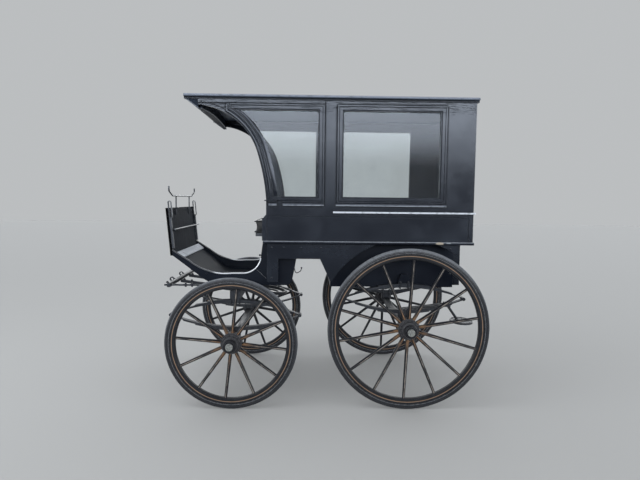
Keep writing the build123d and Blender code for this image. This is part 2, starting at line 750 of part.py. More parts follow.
def frame_profile():
    """What the frames' moulding plane takes off: a rebate next to the glass and a groove farther out."""
    step, step_depth = FRAME_REBATE
    inner, outer, depth = FRAME_GROOVE
    cuts = []
    for near, far, deep in ((0, step, step_depth), (inner, outer, depth)):
        thick = (BODY_HALF + FRAME_PROUD - deep, BODY_HALF + FRAME_PROUD)
        wide = side_windows(far, PILLAR_W - far, thick)
        narrow = side_windows(near, PILLAR_W - near, thick)
        cuts += [large - small for large, small in zip(wide, narrow)]
    return cuts


def side_strips():
    """X, how far it stands out and Z of each level moulding on the upper side."""
    drip = (DRIP_RAIL_Z - DRIP_RAIL / 2, DRIP_RAIL_Z + DRIP_RAIL / 2)
    sill = (FRAME_LOW - SILL_BELOW - SILL_T, FRAME_LOW - SILL_BELOW)
    frame_end = FRONT_WINDOW_REAR + FRAME_W
    window_sill = (SIDE_WINDOW[0] - FRAME_W - SILL_OVER, SIDE_WINDOW[1] + FRAME_W + SILL_OVER)
    return [
        ((DRIP_RAIL_FRONT, REAR_FACE + DRIP_RAIL), DRIP_RAIL, drip),
        ((CANOPY_FRONT, frame_end), FASCIA_PROUD, (EAVES_Z - FASCIA_DROP, EAVES_Z)),
        (window_sill, SILL_PROUD, sill),
        ((SILL_BREAK[1], frame_end), SILL_PROUD, sill),
        ((FOOT_STRIP_X, SILL_BREAK[0]), SILL_PROUD, sill),
    ]


def panel_sinking():
    """The shallow sinking of the long panel under the windows, with a round upper front corner."""
    front, rear = BODY_FRONT + PANEL_FRONT, REAR_FACE - PANEL_REAR
    r = PANEL_CORNER_R
    short = r * (1 - math.sqrt(0.5))
    path = [(front, WAIST_TOP), (front, PANEL_TOP - r),
            (front + short, PANEL_TOP - short, front + r, PANEL_TOP), (rear, PANEL_TOP), (rear, WAIST_TOP)]
    return plate(path, BODY_HALF - PANEL_SUNK, BODY_HALF + SILL_PROUD)


def side_wall():
    """Upper side of the body with its windows, raised frames, mouldings and sunk panel."""
    shoulder = [(PILLAR_EDGE[-1][0], SHOULDER_Z), (BODY_FRONT, SHOULDER_Z - SHOULDER_DROP)]
    path = [(REAR_FACE, WAIST_TOP), (REAR_FACE, EAVES_Z), (CANOPY_FRONT, EAVES_Z)]
    path += two_arcs(PILLAR_EDGE) + shoulder + [(BODY_FRONT, WAIST_TOP)]
    wall = plate(path, WALL_IN, BODY_HALF)
    for tool in side_windows(0, PILLAR_W, (WALL_IN - 1, BODY_HALF + FRAME_PROUD + 1)):
        wall -= tool
    proud = (BODY_HALF, BODY_HALF + FRAME_PROUD)
    holes = side_windows(0, PILLAR_W, proud)
    frames = side_windows(FRAME_W, PILLAR_W - FRAME_W, proud)
    for frame, hole in zip(frames, holes):
        wall += frame - hole
    for cut in frame_profile():
        wall -= cut
    wall -= block(SILL_BREAK, (BODY_HALF, BODY_HALF + FRAME_PROUD), (FRAME_LOW, PILLAR_LOW))
    for x, proud, z in side_strips():
        wall += block(x, (BODY_HALF, BODY_HALF + proud), z)
    foot_x = PILLAR_EDGE[-1][0] - FOOT_LEDGE_OVER
    wall += block((foot_x, SILL_BREAK[0]), (WALL_IN, BODY_HALF + SILL_PROUD),
                  (PILLAR_LOW - FOOT_LEDGE_T, PILLAR_LOW))
    return wall - panel_sinking()


def make_walls():
    wall = side_wall()
    keep("right_side_wall", wall)
    keep("left_side_wall", mirrored(wall))
    middle = (WALL_IN + BODY_HALF) / 2
    panes = side_windows(0, PILLAR_W, (middle - GLASS_T / 2, middle + GLASS_T / 2))
    keep("side_window_glass", both(*panes))

    rear = block((REAR_FACE - WALL, REAR_FACE), (-WALL_IN, WALL_IN), (WAIST_TOP, EAVES_Z))
    rear -= block((REAR_FACE - WALL, REAR_FACE), (-OPEN_HALF, OPEN_HALF), (WAIST_TOP, DOOR_TOP + DOOR_GAP))
    for y in ((OPEN_HALF + DRIP_RAIL_DOOR_GAP, BODY_HALF), (-BODY_HALF, -OPEN_HALF - DRIP_RAIL_DOOR_GAP)):
        rear += block((REAR_FACE, REAR_FACE + DRIP_RAIL), y,
                      (DRIP_RAIL_Z - DRIP_RAIL / 2, DRIP_RAIL_Z + DRIP_RAIL / 2))
    keep("rear_wall", rear)


def make_roof():
    top = EAVES_Z + ROOF_EDGE
    half = BODY_HALF + ROOF_SIDE_OVER
    neck = BODY_HALF + ROOF_NECK_OVER
    neck_top = EAVES_Z + ROOF_NECK
    nosing = (top - neck_top) / 2
    room = ROOF_EDGE - ROOF_BOARD
    arch = [(-neck, EAVES_Z), (-neck, neck_top), (nosing - half, neck_top),
            (-half, neck_top + nosing, nosing - half, top), (0, top + ROOF_RISE, half - nosing, top),
            (half, neck_top + nosing, half - nosing, neck_top), (neck, neck_top), (neck, EAVES_Z),
            (WALL_IN, EAVES_Z), (WALL_IN, EAVES_Z + room),
            (0, EAVES_Z + room + ROOF_RISE, -WALL_IN, EAVES_Z + room), (-WALL_IN, EAVES_Z)]
    section = outline(arch)
    section = Plane(origin=(0, 0, 0), x_dir=(0, 1, 0), z_dir=(1, 0, 0)) * (Rot(-90, 0, 0) * section)
    roof = extrude(section, amount=REAR_FACE + ROOF_REAR_OVER - ROOF_FRONT, dir=(1, 0, 0))
    keep("roof", Pos(ROOF_FRONT, 0, 0) * roof)

    header = [(ROOF_FRONT + HEADER_SET, EAVES_Z), (CANOPY_FRONT, HEADER_LOW), (CANOPY_FRONT, EAVES_Z)]
    rail = block((CANOPY_FRONT, CANOPY_FRONT + HEADER_T), (-WALL_IN, WALL_IN), (HEADER_LOW, EAVES_Z))
    radius = (WALL_IN ** 2 + HEADER_ARCH ** 2) / (2 * HEADER_ARCH)
    arch_z = HEADER_LOW + HEADER_ARCH - radius
    arch = rod((ROOF_FRONT, 0, arch_z), (CANOPY_FRONT + HEADER_T + 1, 0, arch_z), radius)
    keep("canopy_header", plate(header, -BODY_HALF, BODY_HALF) + rail - arch)


# Lower body

def make_lower_body():
    outer = BODY_HALF + WAIST_OUT
    frame = block((LOWER_FRONT - WAIST_AHEAD, REAR_FACE + WAIST_OUT), (-outer, outer), (WAIST_Z, WAIST_TOP))
    frame = fillet(frame.edges().filter_by(Axis.X), WAIST_OUT)
    cabin = block((BOX_FRONT + BOX_WALL, REAR_FACE - WALL), (-BOX_HALF + BOX_WALL, BOX_HALF - BOX_WALL),
                  (WAIST_Z, WAIST_TOP))
    seat_well = block((LOWER_FRONT + WELL_RIM, BOX_FRONT), (-LOWER_IN + WELL_SIDE, LOWER_IN - WELL_SIDE),
                      (WAIST_Z, WAIST_TOP))
    doorway = block((REAR_FACE - WALL - 1, REAR_FACE + WALL), (-OPEN_HALF, OPEN_HALF), (WAIST_Z, WAIST_TOP))
    keep("waist_frame", frame - cabin - seat_well - doorway)

    front = [(LOWER_FRONT, WAIST_Z), (LOWER_FRONT, LEG_FOOT_Z), (LEG_REAR, LEG_FOOT_Z),
             (LEG_REAR, CUT_UNDER_Z), (CUT_UNDER_REAR, CUT_UNDER_Z),
             (CUT_UNDER_REAR + CUT_UNDER_RAKE, SKIRT_Z),
             (REAR_AXLE_X, SKIRT_Z), (REAR_AXLE_X, WAIST_Z)]
    rear = [(REAR_AXLE_X, SKIRT_Z), (LOWER_REAR, SKIRT_Z), (LOWER_REAR, WAIST_Z), (REAR_AXLE_X, WAIST_Z)]
    arch = cross_rod(REAR_AXLE_X, REAR_WHEEL_R, LOWER_IN - 1, LOWER_OUT + 1, ARCH_R)
    panels = [plate(path, LOWER_IN, LOWER_OUT) - arch for path in (front, rear)]
    keep("lower_panels", both(*panels))

    platform = block((LOWER_FRONT, BOX_FRONT), (-LOWER_IN, LOWER_IN), (CUT_UNDER_Z, CUT_UNDER_Z + FLOOR_T))
    keep("seat_platform", platform)

    inner = BOX_HALF - BOX_WALL
    box = block((BOX_FRONT, BOX_REAR), (-BOX_HALF, BOX_HALF), (FLOOR_BOTTOM, WAIST_Z))
    box -= block((BOX_FRONT + BOX_WALL, BOX_REAR - BOX_WALL), (-inner, inner), (FLOOR_BOTTOM, WAIST_Z))
    box -= block((BOX_REAR - BOX_WALL, BOX_REAR), (-OPEN_HALF, OPEN_HALF), (FLOOR_BOTTOM, WAIST_Z))
    keep("cabin_box", box)
    floor = block((BOX_FRONT + BOX_WALL, BOX_REAR - BOX_WALL), (-inner, inner),
                  (FLOOR_BOTTOM, FLOOR_BOTTOM + FLOOR_T))
    keep("cabin_floor", floor)

    jamb_out = OPEN_HALF + JAMB_W
    jambs = block((BOX_REAR, JAMB_FACE), (-jamb_out, jamb_out), (FLOOR_BOTTOM, WAIST_Z))
    jambs -= block((BOX_REAR, JAMB_FACE), (-OPEN_HALF, OPEN_HALF), (FLOOR_BOTTOM + FLOOR_T, WAIST_Z))
    sill = block((BOX_REAR - BOX_WALL, BOX_REAR), (-OPEN_HALF, OPEN_HALF), (FLOOR_BOTTOM, FLOOR_BOTTOM + FLOOR_T))
    keep("door_case", jambs + sill)


# Seats

def make_seats():
    board = block((SEAT_FRONT + SEAT_BOARD_SET, SEAT_REAR), (-WALL_IN, WALL_IN),
                  (SEAT_BOARD_Z, SEAT_BOARD_Z + SEAT_BOARD_T))
    riser = block((LOWER_FRONT - RISER_T, LOWER_FRONT), (-WALL_IN, WALL_IN), (WAIST_TOP, SEAT_BOARD_Z))
    rear_riser = block((SEAT_REAR - SEAT_RISER_T, SEAT_REAR), (-WALL_IN, WALL_IN), (WAIST_TOP, SEAT_BOARD_Z))
    keep("driver_seat", board + riser + rear_riser)
    low = SEAT_BOARD_Z + SEAT_BOARD_T + CUSHION_GAP
    high = low + CUSHION_T
    rear = SEAT_REAR - CUSHION_REAR_GAP
    side = [(SEAT_FRONT, low), (SEAT_FRONT + CUSHION_HOLLOW, (low + high) / 2, SEAT_FRONT, high),
            (rear, high), (rear, low)]
    wide = WALL_IN - CUSHION_SIDE_GAP
    keep("driver_cushion", plate(side, -wide, wide))
    back = SEAT_REAR + SEAT_BACK_GAP
    keep("seat_back", block((back, back + SEAT_RISER_T), (-WALL_IN, WALL_IN),
                            (WAIST_TOP, GLASS_LOW - SEAT_BACK_DROP)))

    start = BOX_FRONT + BOX_WALL
    end = REAR_FACE - WALL - BENCH_REAR_GAP
    bench = block((start, end), (BENCH_INNER, WALL_IN), (WAIST_TOP, WAIST_TOP + FLOOR_T))
    keep("bench_seats", both(bench))
    top = WAIST_TOP + FLOOR_T + CUSHION_GAP
    pad = block((start, end), (BENCH_INNER, wide), (top, top + BENCH_CUSHION_T))
    keep("bench_cushions", both(fillet(pad.edges().filter_by(Axis.X), BENCH_CUSHION_R)))


# Rear door

def make_door():
    face = REAR_FACE - WALL + DOOR_T
    back = REAR_FACE - WALL
    low = FLOOR_BOTTOM + FLOOR_T + DOOR_GAP
    door = block((back, face), (-DOOR_HALF, DOOR_HALF), (low, DOOR_TOP))
    pane = (DOOR_HALF - DOOR_STILE, GLASS_LOW, DOOR_TOP - DOOR_STILE)
    door += block((face, face + DOOR_BEAD_PROUD), (-pane[0] - DOOR_BEAD, pane[0] + DOOR_BEAD),
                  (pane[1] - DOOR_BEAD, pane[2] + DOOR_BEAD))
    door -= block((back, face + DOOR_BEAD_PROUD), (-pane[0], pane[0]), (pane[1], pane[2]))
    door -= block((face - DOOR_PANEL_SUNK, face), (-pane[0], pane[0]), (low + DOOR_STILE, pane[1] - DOOR_RAIL))
    middle = (back + face) / 2
    glass = block((middle - GLASS_T / 2, middle + GLASS_T / 2), (-pane[0], pane[0]), (pane[1], pane[2]))
    keep("rear_door_glass", glass)

    jamb_out = OPEN_HALF + JAMB_W
    axis_x = REAR_FACE + HINGE_R + HINGE_SET
    axis_y = DOOR_HALF + DOOR_GAP / 2
    third = HINGE_LENGTH / 3
    fixed = []
    for z in HINGE_HEIGHTS:
        knuckle = rod((axis_x, axis_y, z - third / 2), (axis_x, axis_y, z + third / 2), HINGE_R)
        strap = block((face, axis_x), (axis_y - HINGE_LEAF, axis_y), (z - third / 2, z + third / 2))
        bore = rod((axis_x, axis_y, z - third), (axis_x, axis_y, z + third), HINGE_PIN_R + RUNNING_GAP)
        door += (knuckle + strap) - bore
        pin = rod((axis_x, axis_y, z - 1.5 * third), (axis_x, axis_y, z + 1.5 * third), HINGE_PIN_R)
        for side in (-1, 1):
            near = z + side * (third / 2 + KNUCKLE_GAP)
            far = z + side * 1.5 * third
            pin += rod((axis_x, axis_y, near), (axis_x, axis_y, far), HINGE_R)
            if z > WAIST_TOP:
                pin += block((REAR_FACE, axis_x), (axis_y, axis_y + HINGE_LEAF), sorted((near, far)))
            else:
                pin += block((JAMB_FACE, axis_x), (OPEN_HALF, jamb_out), sorted((near, far)))
        fixed.append(pin.solid())
    keep("rear_door", door)
    keep("door_hinges", Compound(fixed))

    grip_y = -DOOR_HALF + HANDLE_IN
    grip_x = face + HANDLE_OUT
    handle = rod((face, grip_y, HANDLE_Z), (grip_x, grip_y, HANDLE_Z), HANDLE_NECK_R)
    handle += rod((grip_x, grip_y - HANDLE_TAIL, HANDLE_Z), (grip_x, grip_y + HANDLE_GRIP, HANDLE_Z), HANDLE_R)
    handle += rod((face, grip_y, HANDLE_Z), (face + ROSE_T, grip_y, HANDLE_Z), ROSE_R)
    keep("door_handle", handle)


# Rear step

def make_step():
    block_x, block_z = STEP_BLOCK
    axle_rear = REAR_AXLE_X + AXLE_BAR / 2
    half = STEP_STAY_H / 2
    stay = plate([(axle_rear, REAR_WHEEL_R - half), (block_x, block_z - half),
                  (block_x, block_z + half), (axle_rear, REAR_WHEEL_R + half)], *STEP_STAY_Y)
    stay = stay + mirrored(stay)
    stay += Pos(block_x, 0, block_z) * Box(*STEP_BLOCK_SIZE)
    tread_top = STEP_Z + STEP_T
    for side in (-1, 1):
        y = side * STEP_ROD_Y
        stay += rod((block_x, y, block_z), (STEP_X - STEP_ROD_SET, y, tread_top), STEP_ROD_R)
    tread = Pos(STEP_X, 0, STEP_Z + STEP_T / 2) * extrude(
        Ellipse(STEP_L / 2, STEP_W / 2), amount=STEP_T / 2, both=True)
    keep("rear_step", stay + tread)


make_wheels()
make_springs()
make_turntable()
make_forecarriage()
make_boot()
make_dashboard()
make_walls()
make_roof()
make_lower_body()
make_seats()
make_door()
make_step()

os.makedirs("parts", exist_ok=True)
for name, shape in PARTS.items():
    export_step(Pos(X_SHIFT, 0, 0) * shape, f"parts/{name}.step")
print(len(PARTS), "pieces, moved by", X_SHIFT)
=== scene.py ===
import bmesh
import bpy
import math
from mathutils import Matrix, Vector


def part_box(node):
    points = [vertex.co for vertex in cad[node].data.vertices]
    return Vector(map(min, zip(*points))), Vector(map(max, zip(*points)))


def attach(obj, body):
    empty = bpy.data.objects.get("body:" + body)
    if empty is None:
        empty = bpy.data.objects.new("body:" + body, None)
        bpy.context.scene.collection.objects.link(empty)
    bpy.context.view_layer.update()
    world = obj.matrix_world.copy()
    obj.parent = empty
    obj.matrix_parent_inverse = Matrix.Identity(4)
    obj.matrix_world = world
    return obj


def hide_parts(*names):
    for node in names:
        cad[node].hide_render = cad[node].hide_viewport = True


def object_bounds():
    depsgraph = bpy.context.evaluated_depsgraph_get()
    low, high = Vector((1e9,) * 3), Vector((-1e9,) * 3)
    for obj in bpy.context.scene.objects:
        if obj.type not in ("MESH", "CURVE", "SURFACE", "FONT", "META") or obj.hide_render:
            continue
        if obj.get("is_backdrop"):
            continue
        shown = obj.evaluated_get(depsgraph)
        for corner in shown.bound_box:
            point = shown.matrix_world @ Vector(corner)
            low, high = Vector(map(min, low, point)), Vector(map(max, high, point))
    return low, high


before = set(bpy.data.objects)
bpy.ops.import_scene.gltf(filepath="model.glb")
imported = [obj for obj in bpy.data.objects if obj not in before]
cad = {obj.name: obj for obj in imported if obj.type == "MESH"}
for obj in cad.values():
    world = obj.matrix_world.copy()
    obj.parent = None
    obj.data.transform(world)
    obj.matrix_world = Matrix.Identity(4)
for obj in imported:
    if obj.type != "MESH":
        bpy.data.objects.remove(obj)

cad_low, cad_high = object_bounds()
bpy.ops.object.select_all(action="DESELECT")

# Studio: a pale floor and a plain backdrop under a soft sky, with one wide lamp above the near
# side. The camera stands a few steps off that side of the carriage, at eye height, and looks
# slightly down on it.
EYE = Vector((-0.1479, -4.4614, 1.5537))
LOOK_RIGHT, LOOK_DOWN, LEAN = 1.312, 4.44, 0.625
LENS = 29.25
PALE = (0.4, 0.386, 0.37, 1)
BACKGROUND = (0.5, 0.515, 0.525, 1)
SKY_TINT = (0.88, 0.94, 1, 1)
HORIZON_LIGHT = 0.36
ZENITH_LIGHT = 0.9
DOME_RISE = (0.3, 0.8)
BAND_LIGHT = 7.9
BAND_FROM = (0.055, 0.14)
BAND_TO = (0.32, 0.26)
SIDE_SHARE = 0.55
SIDE_TURN = (-0.15, -0.7)
MIRROR_GAIN = 2
LAMP_PLACE = Vector((-3.4, -1.8, 5.4))
LAMP_AIM = Vector((0, 0, 1.1))
LAMP_SIZE = 3.6
LAMP_POWER = 90
FLOOR_SIZE = 60

aim = Matrix.Identity(4)
for degrees, axis in ((-LOOK_RIGHT, "Z"), (90 - LOOK_DOWN, "X"), (LEAN, "Z")):
    aim = aim @ Matrix.Rotation(math.radians(degrees), 4, axis)
bpy.ops.object.camera_add(location=EYE, rotation=aim.to_euler())
camera = bpy.context.object
camera.data.lens = LENS
bpy.context.scene.camera = camera
bpy.context.scene.view_settings.view_transform = "Standard"


def new_material(name, roughness, metallic=0.0, gloss=0.5, others=()):
    """A material with its tree and its shader, which has the given inputs."""
    made = bpy.data.materials.new(name)
    made.use_nodes = True
    shader = made.node_tree.nodes["Principled BSDF"]
    inputs = [("Roughness", roughness), ("Metallic", metallic), ("Specular IOR Level", gloss), *others]
    for key, value in inputs:
        shader.inputs[key].default_value = value
    return made, made.node_tree, shader


def add(tree, kind, sockets, output=0, **options):
    """The output of a new shader node, whose inputs are given or joined and whose options are set."""
    made = tree.nodes.new("ShaderNode" + kind)
    for option, value in options.items():
        setattr(made, option, value)
    for key, value in sockets.items():
        if isinstance(value, bpy.types.NodeSocket):
            tree.links.new(value, made.inputs[key])
        else:
            made.inputs[key].default_value = value
    return made.outputs[output]


def step(value, low, high, start=0.0, end=1.0):
    """Goes smoothly from start to end as the value goes from low to high."""
    sockets = {"Value": value, "From Min": low, "From Max": high, "To Min": start, "To Max": end}
    return add(value.id_data, "MapRange", sockets, interpolation_type="SMOOTHSTEP")


def calc(operation, first, second=0.0):
    return add(first.id_data, "Math", {0: first, 1: second}, operation=operation)


def plus(first, second):
    return calc("ADD", first, second)


def minus(first, second):
    return calc("SUBTRACT", first, second)


def times(first, *others):
    for other in others:
        first = calc("MULTIPLY", first, other)
    return first


def larger(first, second):
    return calc("MAXIMUM", first, second)


def part_of(vector, letter):
    return add(vector.id_data, "SeparateXYZ", {0: vector}, letter)


def studio_sky():
    """Dim at the horizon and overhead, with a band between that is brightest on the near side.

    The backdrop behind the carriage is plain, and paint and glass mirror it with the band above.
    """
    made = bpy.data.worlds.new("studio")
    made.use_nodes = True
    tree = made.node_tree
    compass = add(tree, "TexCoord", {}, "Generated")
    rise = part_of(compass, "Z")
    near_side = step(part_of(compass, "Y"), *SIDE_TURN, SIDE_SHARE * BAND_LIGHT, BAND_LIGHT)
    band = times(step(rise, *BAND_FROM), step(rise, *BAND_TO), near_side)
    dome = step(rise, *DOME_RISE, HORIZON_LIGHT, ZENITH_LIGHT)
    ray = tree.nodes.new("ShaderNodeLightPath").outputs
    mirror_ray = larger(minus(ray["Is Glossy Ray"], ray["Is Transmission Ray"]), 0)
    mirrored = plus(times(band, mirror_ray, MIRROR_GAIN), 1)
    sky = add(tree, "Background", {"Color": SKY_TINT, "Strength": plus(dome, band)})
    backdrop = add(tree, "Background", {"Color": BACKGROUND, "Strength": mirrored})
    seen = larger(ray["Is Camera Ray"], ray["Is Transmission Ray"])
    seen = larger(seen, ray["Is Glossy Ray"])
    surroundings = add(tree, "MixShader", {0: seen, 1: sky, 2: backdrop})
    tree.links.new(surroundings, tree.nodes["World Output"].inputs["Surface"])
    return made


bpy.context.scene.world = studio_sky()

turn = (LAMP_AIM - LAMP_PLACE).to_track_quat("-Z", "Y").to_euler()
bpy.ops.object.light_add(type="AREA", location=LAMP_PLACE, rotation=turn)
lamp = bpy.context.object
lamp.name = "sky_left"
lamp.data.size = LAMP_SIZE
lamp.data.energy = LAMP_POWER
lamp.data.color = SKY_TINT[:3]
lamp.visible_transmission = False

bpy.ops.mesh.primitive_plane_add(size=FLOOR_SIZE, location=(0, 0, cad_low.z))
floor = bpy.context.object
floor.name = "floor"
floor.data.materials.append(new_material("floor_paint", 0.9, others=[("Base Color", PALE)])[0])
floor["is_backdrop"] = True
bpy.ops.object.select_all(action="DESELECT")

# Axles and springs: forged iron bars and stacked spring leaves, painted black long ago and dull
# with road dust. Each half spring is clamped at its middle by two U-bolts with nuts, and those
# round an axle pass through a plate under it.
BLACK_IRON = (0.006, 0.0068, 0.0095, 1)
GREY_IRON = (0.013, 0.0138, 0.0168, 1)
RUBBED_IRON = (0.13, 0.13, 0.13, 1)
ROAD_DUST = (0.2, 0.185, 0.165, 1)
CREVICE_SHADE_AND_DIRT = (0.0015, 0.0015, 0.002, 1)
JOINT_BLACK = (0, 0, 0, 1)
VARNISH_TINT = (0.8, 0.87, 1, 1)
EDGE_ROUND = 0.003
CREVICE = 0.02
RAIN_STREAK = (0.03, 0.03, 0.7)
CRACK_SHAPE = (0.12, 0.12, 0.004)
SPLASH_HEIGHT = (1.15, 0.45)
STRIP_EDGE = 0.001
WASHER_T = 0.002
U_BOLT_R = 0.0048
U_BOLT_X = 0.031
U_BOLT_BEND = 0.008
U_BOLT_FIT = 0.0008
HALF_LEAF = 0.022
SPRING_STACK = 0.036
AXLE_HALF = 0.02
PLATE_T = 0.006
PLATE_PAST_X, PLATE_PAST_Y = 0.03, 0.024
LEG_PAST_AXLE = 0.014
LEG_PAST_BED = 0.009
LEG_PAST_SPRING = 0.017
NUT_FROM_TIP = 0.008


def where(tree, centre=(0, 0, 0), unit=(1, 1, 1)):
    """Place on the carriage, measured from a point in steps of the given lengths."""
    place = add(tree, "TexCoord", {}, "Object")
    sockets = {"Vector": place, "Location": centre, "Scale": unit}
    return add(tree, "Mapping", sockets, vector_type="TEXTURE")


def noise(place, scale, detail=6):
    sockets = {"Vector": place, "Scale": scale, "Detail": detail, "Roughness": 0.6}
    return add(place.id_data, "TexNoise", sockets)


def length(vector):
    return add(vector.id_data, "VectorMath", {0: vector}, "Value", operation="LENGTH")


def over(share, under, upper):
    """One colour laid over another."""
    return add(share.id_data, "Mix", {0: share, 6: under, 7: upper}, 2, data_type="RGBA")


def facing(tree, letter):
    """How far the surface faces along an axis."""
    return part_of(add(tree, "NewGeometry", {}, "Normal"), letter)


def rubbed(tree, radius):
    """Near 1 along sharp edges, 0 on flats."""
    rounded = add(tree, "Bevel", {"Radius": radius}, samples=6)
    flat = add(tree, "NewGeometry", {}, "Normal")
    bent = add(tree, "VectorMath", {0: rounded, 1: flat}, "Value", operation="DOT_PRODUCT")
    return step(bent, 0.97, 0.76)


def coat(shader, colour, height, depth):
    """Gives the surface its colour, and raises and sinks it by up to depth."""
    tree = shader.id_data
    tree.links.new(colour, shader.inputs["Base Color"])
    rounded = add(tree, "Bevel", {"Radius": EDGE_ROUND}, samples=4)
    bump = add(tree, "Bump", {"Height": height, "Strength": 1.0, "Distance": depth, "Normal": rounded})
    tree.links.new(bump, shader.inputs["Normal"])


def bare_spot(tree, centre, size):
    """Near 1 inside an uneven patch about a point."""
    place = where(tree, centre, size)
    uneven = times(noise(place, 1.7), 0.9)
    return step(plus(length(place), uneven), 1.5, 1.2)


def pale_strip(place, bottom, top, out):
    """1 between two heights, where the surface stands farther out than the given distance."""
    height = part_of(place, "Z")
    aside = calc("ABSOLUTE", part_of(place, "Y"))
    above = step(height, bottom, bottom + STRIP_EDGE)
    below = step(height, top, top - STRIP_EDGE)
    return times(above, step(aside, out, out + 2 * STRIP_EDGE), below)


def old_paint(name, dark, light, worn, dust=0.0, wear=0.5, shine=0.4, splash=0.0, edge=0.004,
              metal=0.0, gloss=0.5, grain=None, cracks=None, bands=(), spots=(), under=None):
    """Paint in two tones, rubbed through along its edges, with dust on top and splashes low down.

    spots are bare patches: centre, size and colour. grain gives boards: their pitch along Y and
    the lengths of the grain's streaks. cracks are two heights between which long cracks begin.
    bands are pale strips: lower and upper edge, how far out each starts and its colour. under is
    a lighter colour for the faces that look down, painted light as from the ground below.
    """
    made, tree, shader = new_material(name, shine, metal, gloss, [("Specular Tint", VARNISH_TINT)])
    place = where(tree)
    height_up = part_of(place, "Z")
    tone = noise(place, 2.7)
    colour = over(step(tone, 0.38, 0.66), dark, light)
    rain = noise(where(tree, unit=RAIN_STREAK), 1.0)
    colour = over(step(rain, 0.5, 0.85, 0, 0.5), colour, light)

    speckle = noise(place, 38)
    top_share = step(facing(tree, "Z"), 0.1, 0.9, 0, dust)
    low = step(height_up, *SPLASH_HEIGHT, 0, splash)
    dusty = times(step(speckle, 0.34, 0.72, 0.25, 1), larger(top_share, low))
    colour = over(dusty, colour, ROAD_DUST)
    relief = plus(noise(place, 4.5, 2), times(speckle, 0.06))

    air = add(tree, "AmbientOcclusion", {"Distance": CREVICE}, "AO", samples=4, only_local=True)
    patches = step(noise(place, 21), 0.62 - 0.3 * wear, 0.74 - 0.2 * wear)
    open_edge = step(air, 0.75, 0.95, 0, 0.35 + 0.6 * wear)
    colour = over(times(rubbed(tree, edge), patches, open_edge), colour, worn)
    if grain:
        pitch, streak = grain
        fibre = noise(where(tree, unit=streak), 1.0, 8)
        colour = over(step(fibre, 0.5, 0.72, 0, 0.75), colour, light)
        joint = calc("PINGPONG", part_of(place, "Y"), pitch / 2)
        joint = step(joint, 0.0022, 0.0008)
        colour = over(joint, colour, JOINT_BLACK)
        relief = minus(plus(relief, times(fibre, 0.7)), times(joint, 2))
    if cracks:
        split = step(noise(where(tree, unit=CRACK_SHAPE), 1.0, 4), 0.56, 0.62)
        upright = step(facing(tree, "Z"), 0.5, 0.2)
        split = times(split, step(height_up, *cracks), upright)
        colour = over(times(split, 0.55), colour, worn)
        relief = minus(relief, times(split, 1.2))
    for bottom, top, out, pale in bands:
        strip = pale_strip(place, bottom, top, out)
        colour = over(times(strip, step(speckle, 0.3, 0.5, 0.5, 1)), colour, pale)
    # painted light: faces that look down take a lighter colour, as if lit from the ground
    if under:
        colour = over(step(facing(tree, "Z"), -0.3, -0.7), colour, under)
    for centre, size, bare in spots:
        colour = over(bare_spot(tree, centre, size), colour, bare)

    # painted shade: crevices found by ambient occlusion are darkened to near black, standing in for the shade
    # that falls in them as well as for dirt
    darkening = step(air, 0.93, 0.68)
    colour = over(darkening, colour, CREVICE_SHADE_AND_DIRT)
    rough = plus(step(tone, 0.3, 0.7, shine - 0.04, shine + 0.07), times(dusty, 0.4))
    tree.links.new(plus(rough, times(darkening, 0.6)), shader.inputs["Roughness"])
    coat(shader, colour, relief, 0.0008)
    return made


def dress(names, material):
    """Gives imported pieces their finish."""
    for name in names:
        for slot in cad[name].material_slots:
            slot.material = material


def middle(name):
    low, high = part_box(name)
    return (low + high) / 2


def only(piece):
    """Selects one object alone."""
    bpy.ops.object.select_all(action="DESELECT")
    piece.select_set(True)
    bpy.context.view_layer.objects.active = piece


def settle_place(piece):
    """Sets an object's place, turn and size into its mesh."""
    only(piece)
    bpy.ops.object.transform_apply(location=True, rotation=True, scale=True)
    return piece


def finish(piece, name, material, body="carriage", angle=35):
    """Names a modelled piece, sets its place into its mesh and lets it ride on its body."""
    settle_place(piece)
    bpy.ops.object.shade_smooth_by_angle(angle=math.radians(angle))
    piece.name = name
    piece.data.name = name
    piece.data.materials.clear()
    piece.data.materials.append(material)
    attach(piece, body)
    bpy.ops.object.select_all(action="DESELECT")


def join(pieces):
    """Makes one mesh of several."""
    bpy.ops.object.select_all(action="DESELECT")
    for piece in pieces:
        piece.select_set(True)
    bpy.context.view_layer.objects.active = pieces[0]
    if len(pieces) > 1:
        bpy.ops.object.join()
    return bpy.context.view_layer.objects.active


def placed(name, data):
    """A new object in the scene, with the given data."""
    made = bpy.data.objects.new(name, data)
    bpy.context.collection.objects.link(made)
    return made


def repeat(pattern, places):
    """Copies of one modelled piece, each turned and set by a matrix, joined to one mesh."""
    made = []
    for place in places:
        piece = placed("copy", pattern.data.copy())
        piece.matrix_world = place
        settle_place(piece)
        if place.determinant() < 0:
            piece.data.flip_normals()
        made.append(piece)
    bpy.data.objects.remove(pattern)
    return join(made)


def set_on(point, direction):
    """Matrix that sets a piece modelled upright at the origin on a point, along a direction."""
    turn = Vector(direction).to_track_quat("Z", "Y").to_matrix().to_4x4()
    return Matrix.Translation(point) @ turn


def modified(piece, kind, **settings):
    """A piece with one modifier applied."""
    only(piece)
    change = piece.modifiers.new("change", kind)
    for setting, value in settings.items():
        setattr(change, setting, value)
    bpy.ops.object.modifier_apply(modifier=change.name)
    return piece


def bevelled(piece, width, segments=2):
    """Rounds the sharp edges of a piece."""
    sharp = math.radians(40)
    return modified(piece, "BEVEL", width=width, segments=segments, limit_method="ANGLE", angle_limit=sharp)


def block(centre, size):
    """A bar of the given size about a point."""
    bpy.ops.mesh.primitive_cube_add(size=1, location=centre)
    made = bpy.context.object
    made.scale = size
    return settle_place(made)


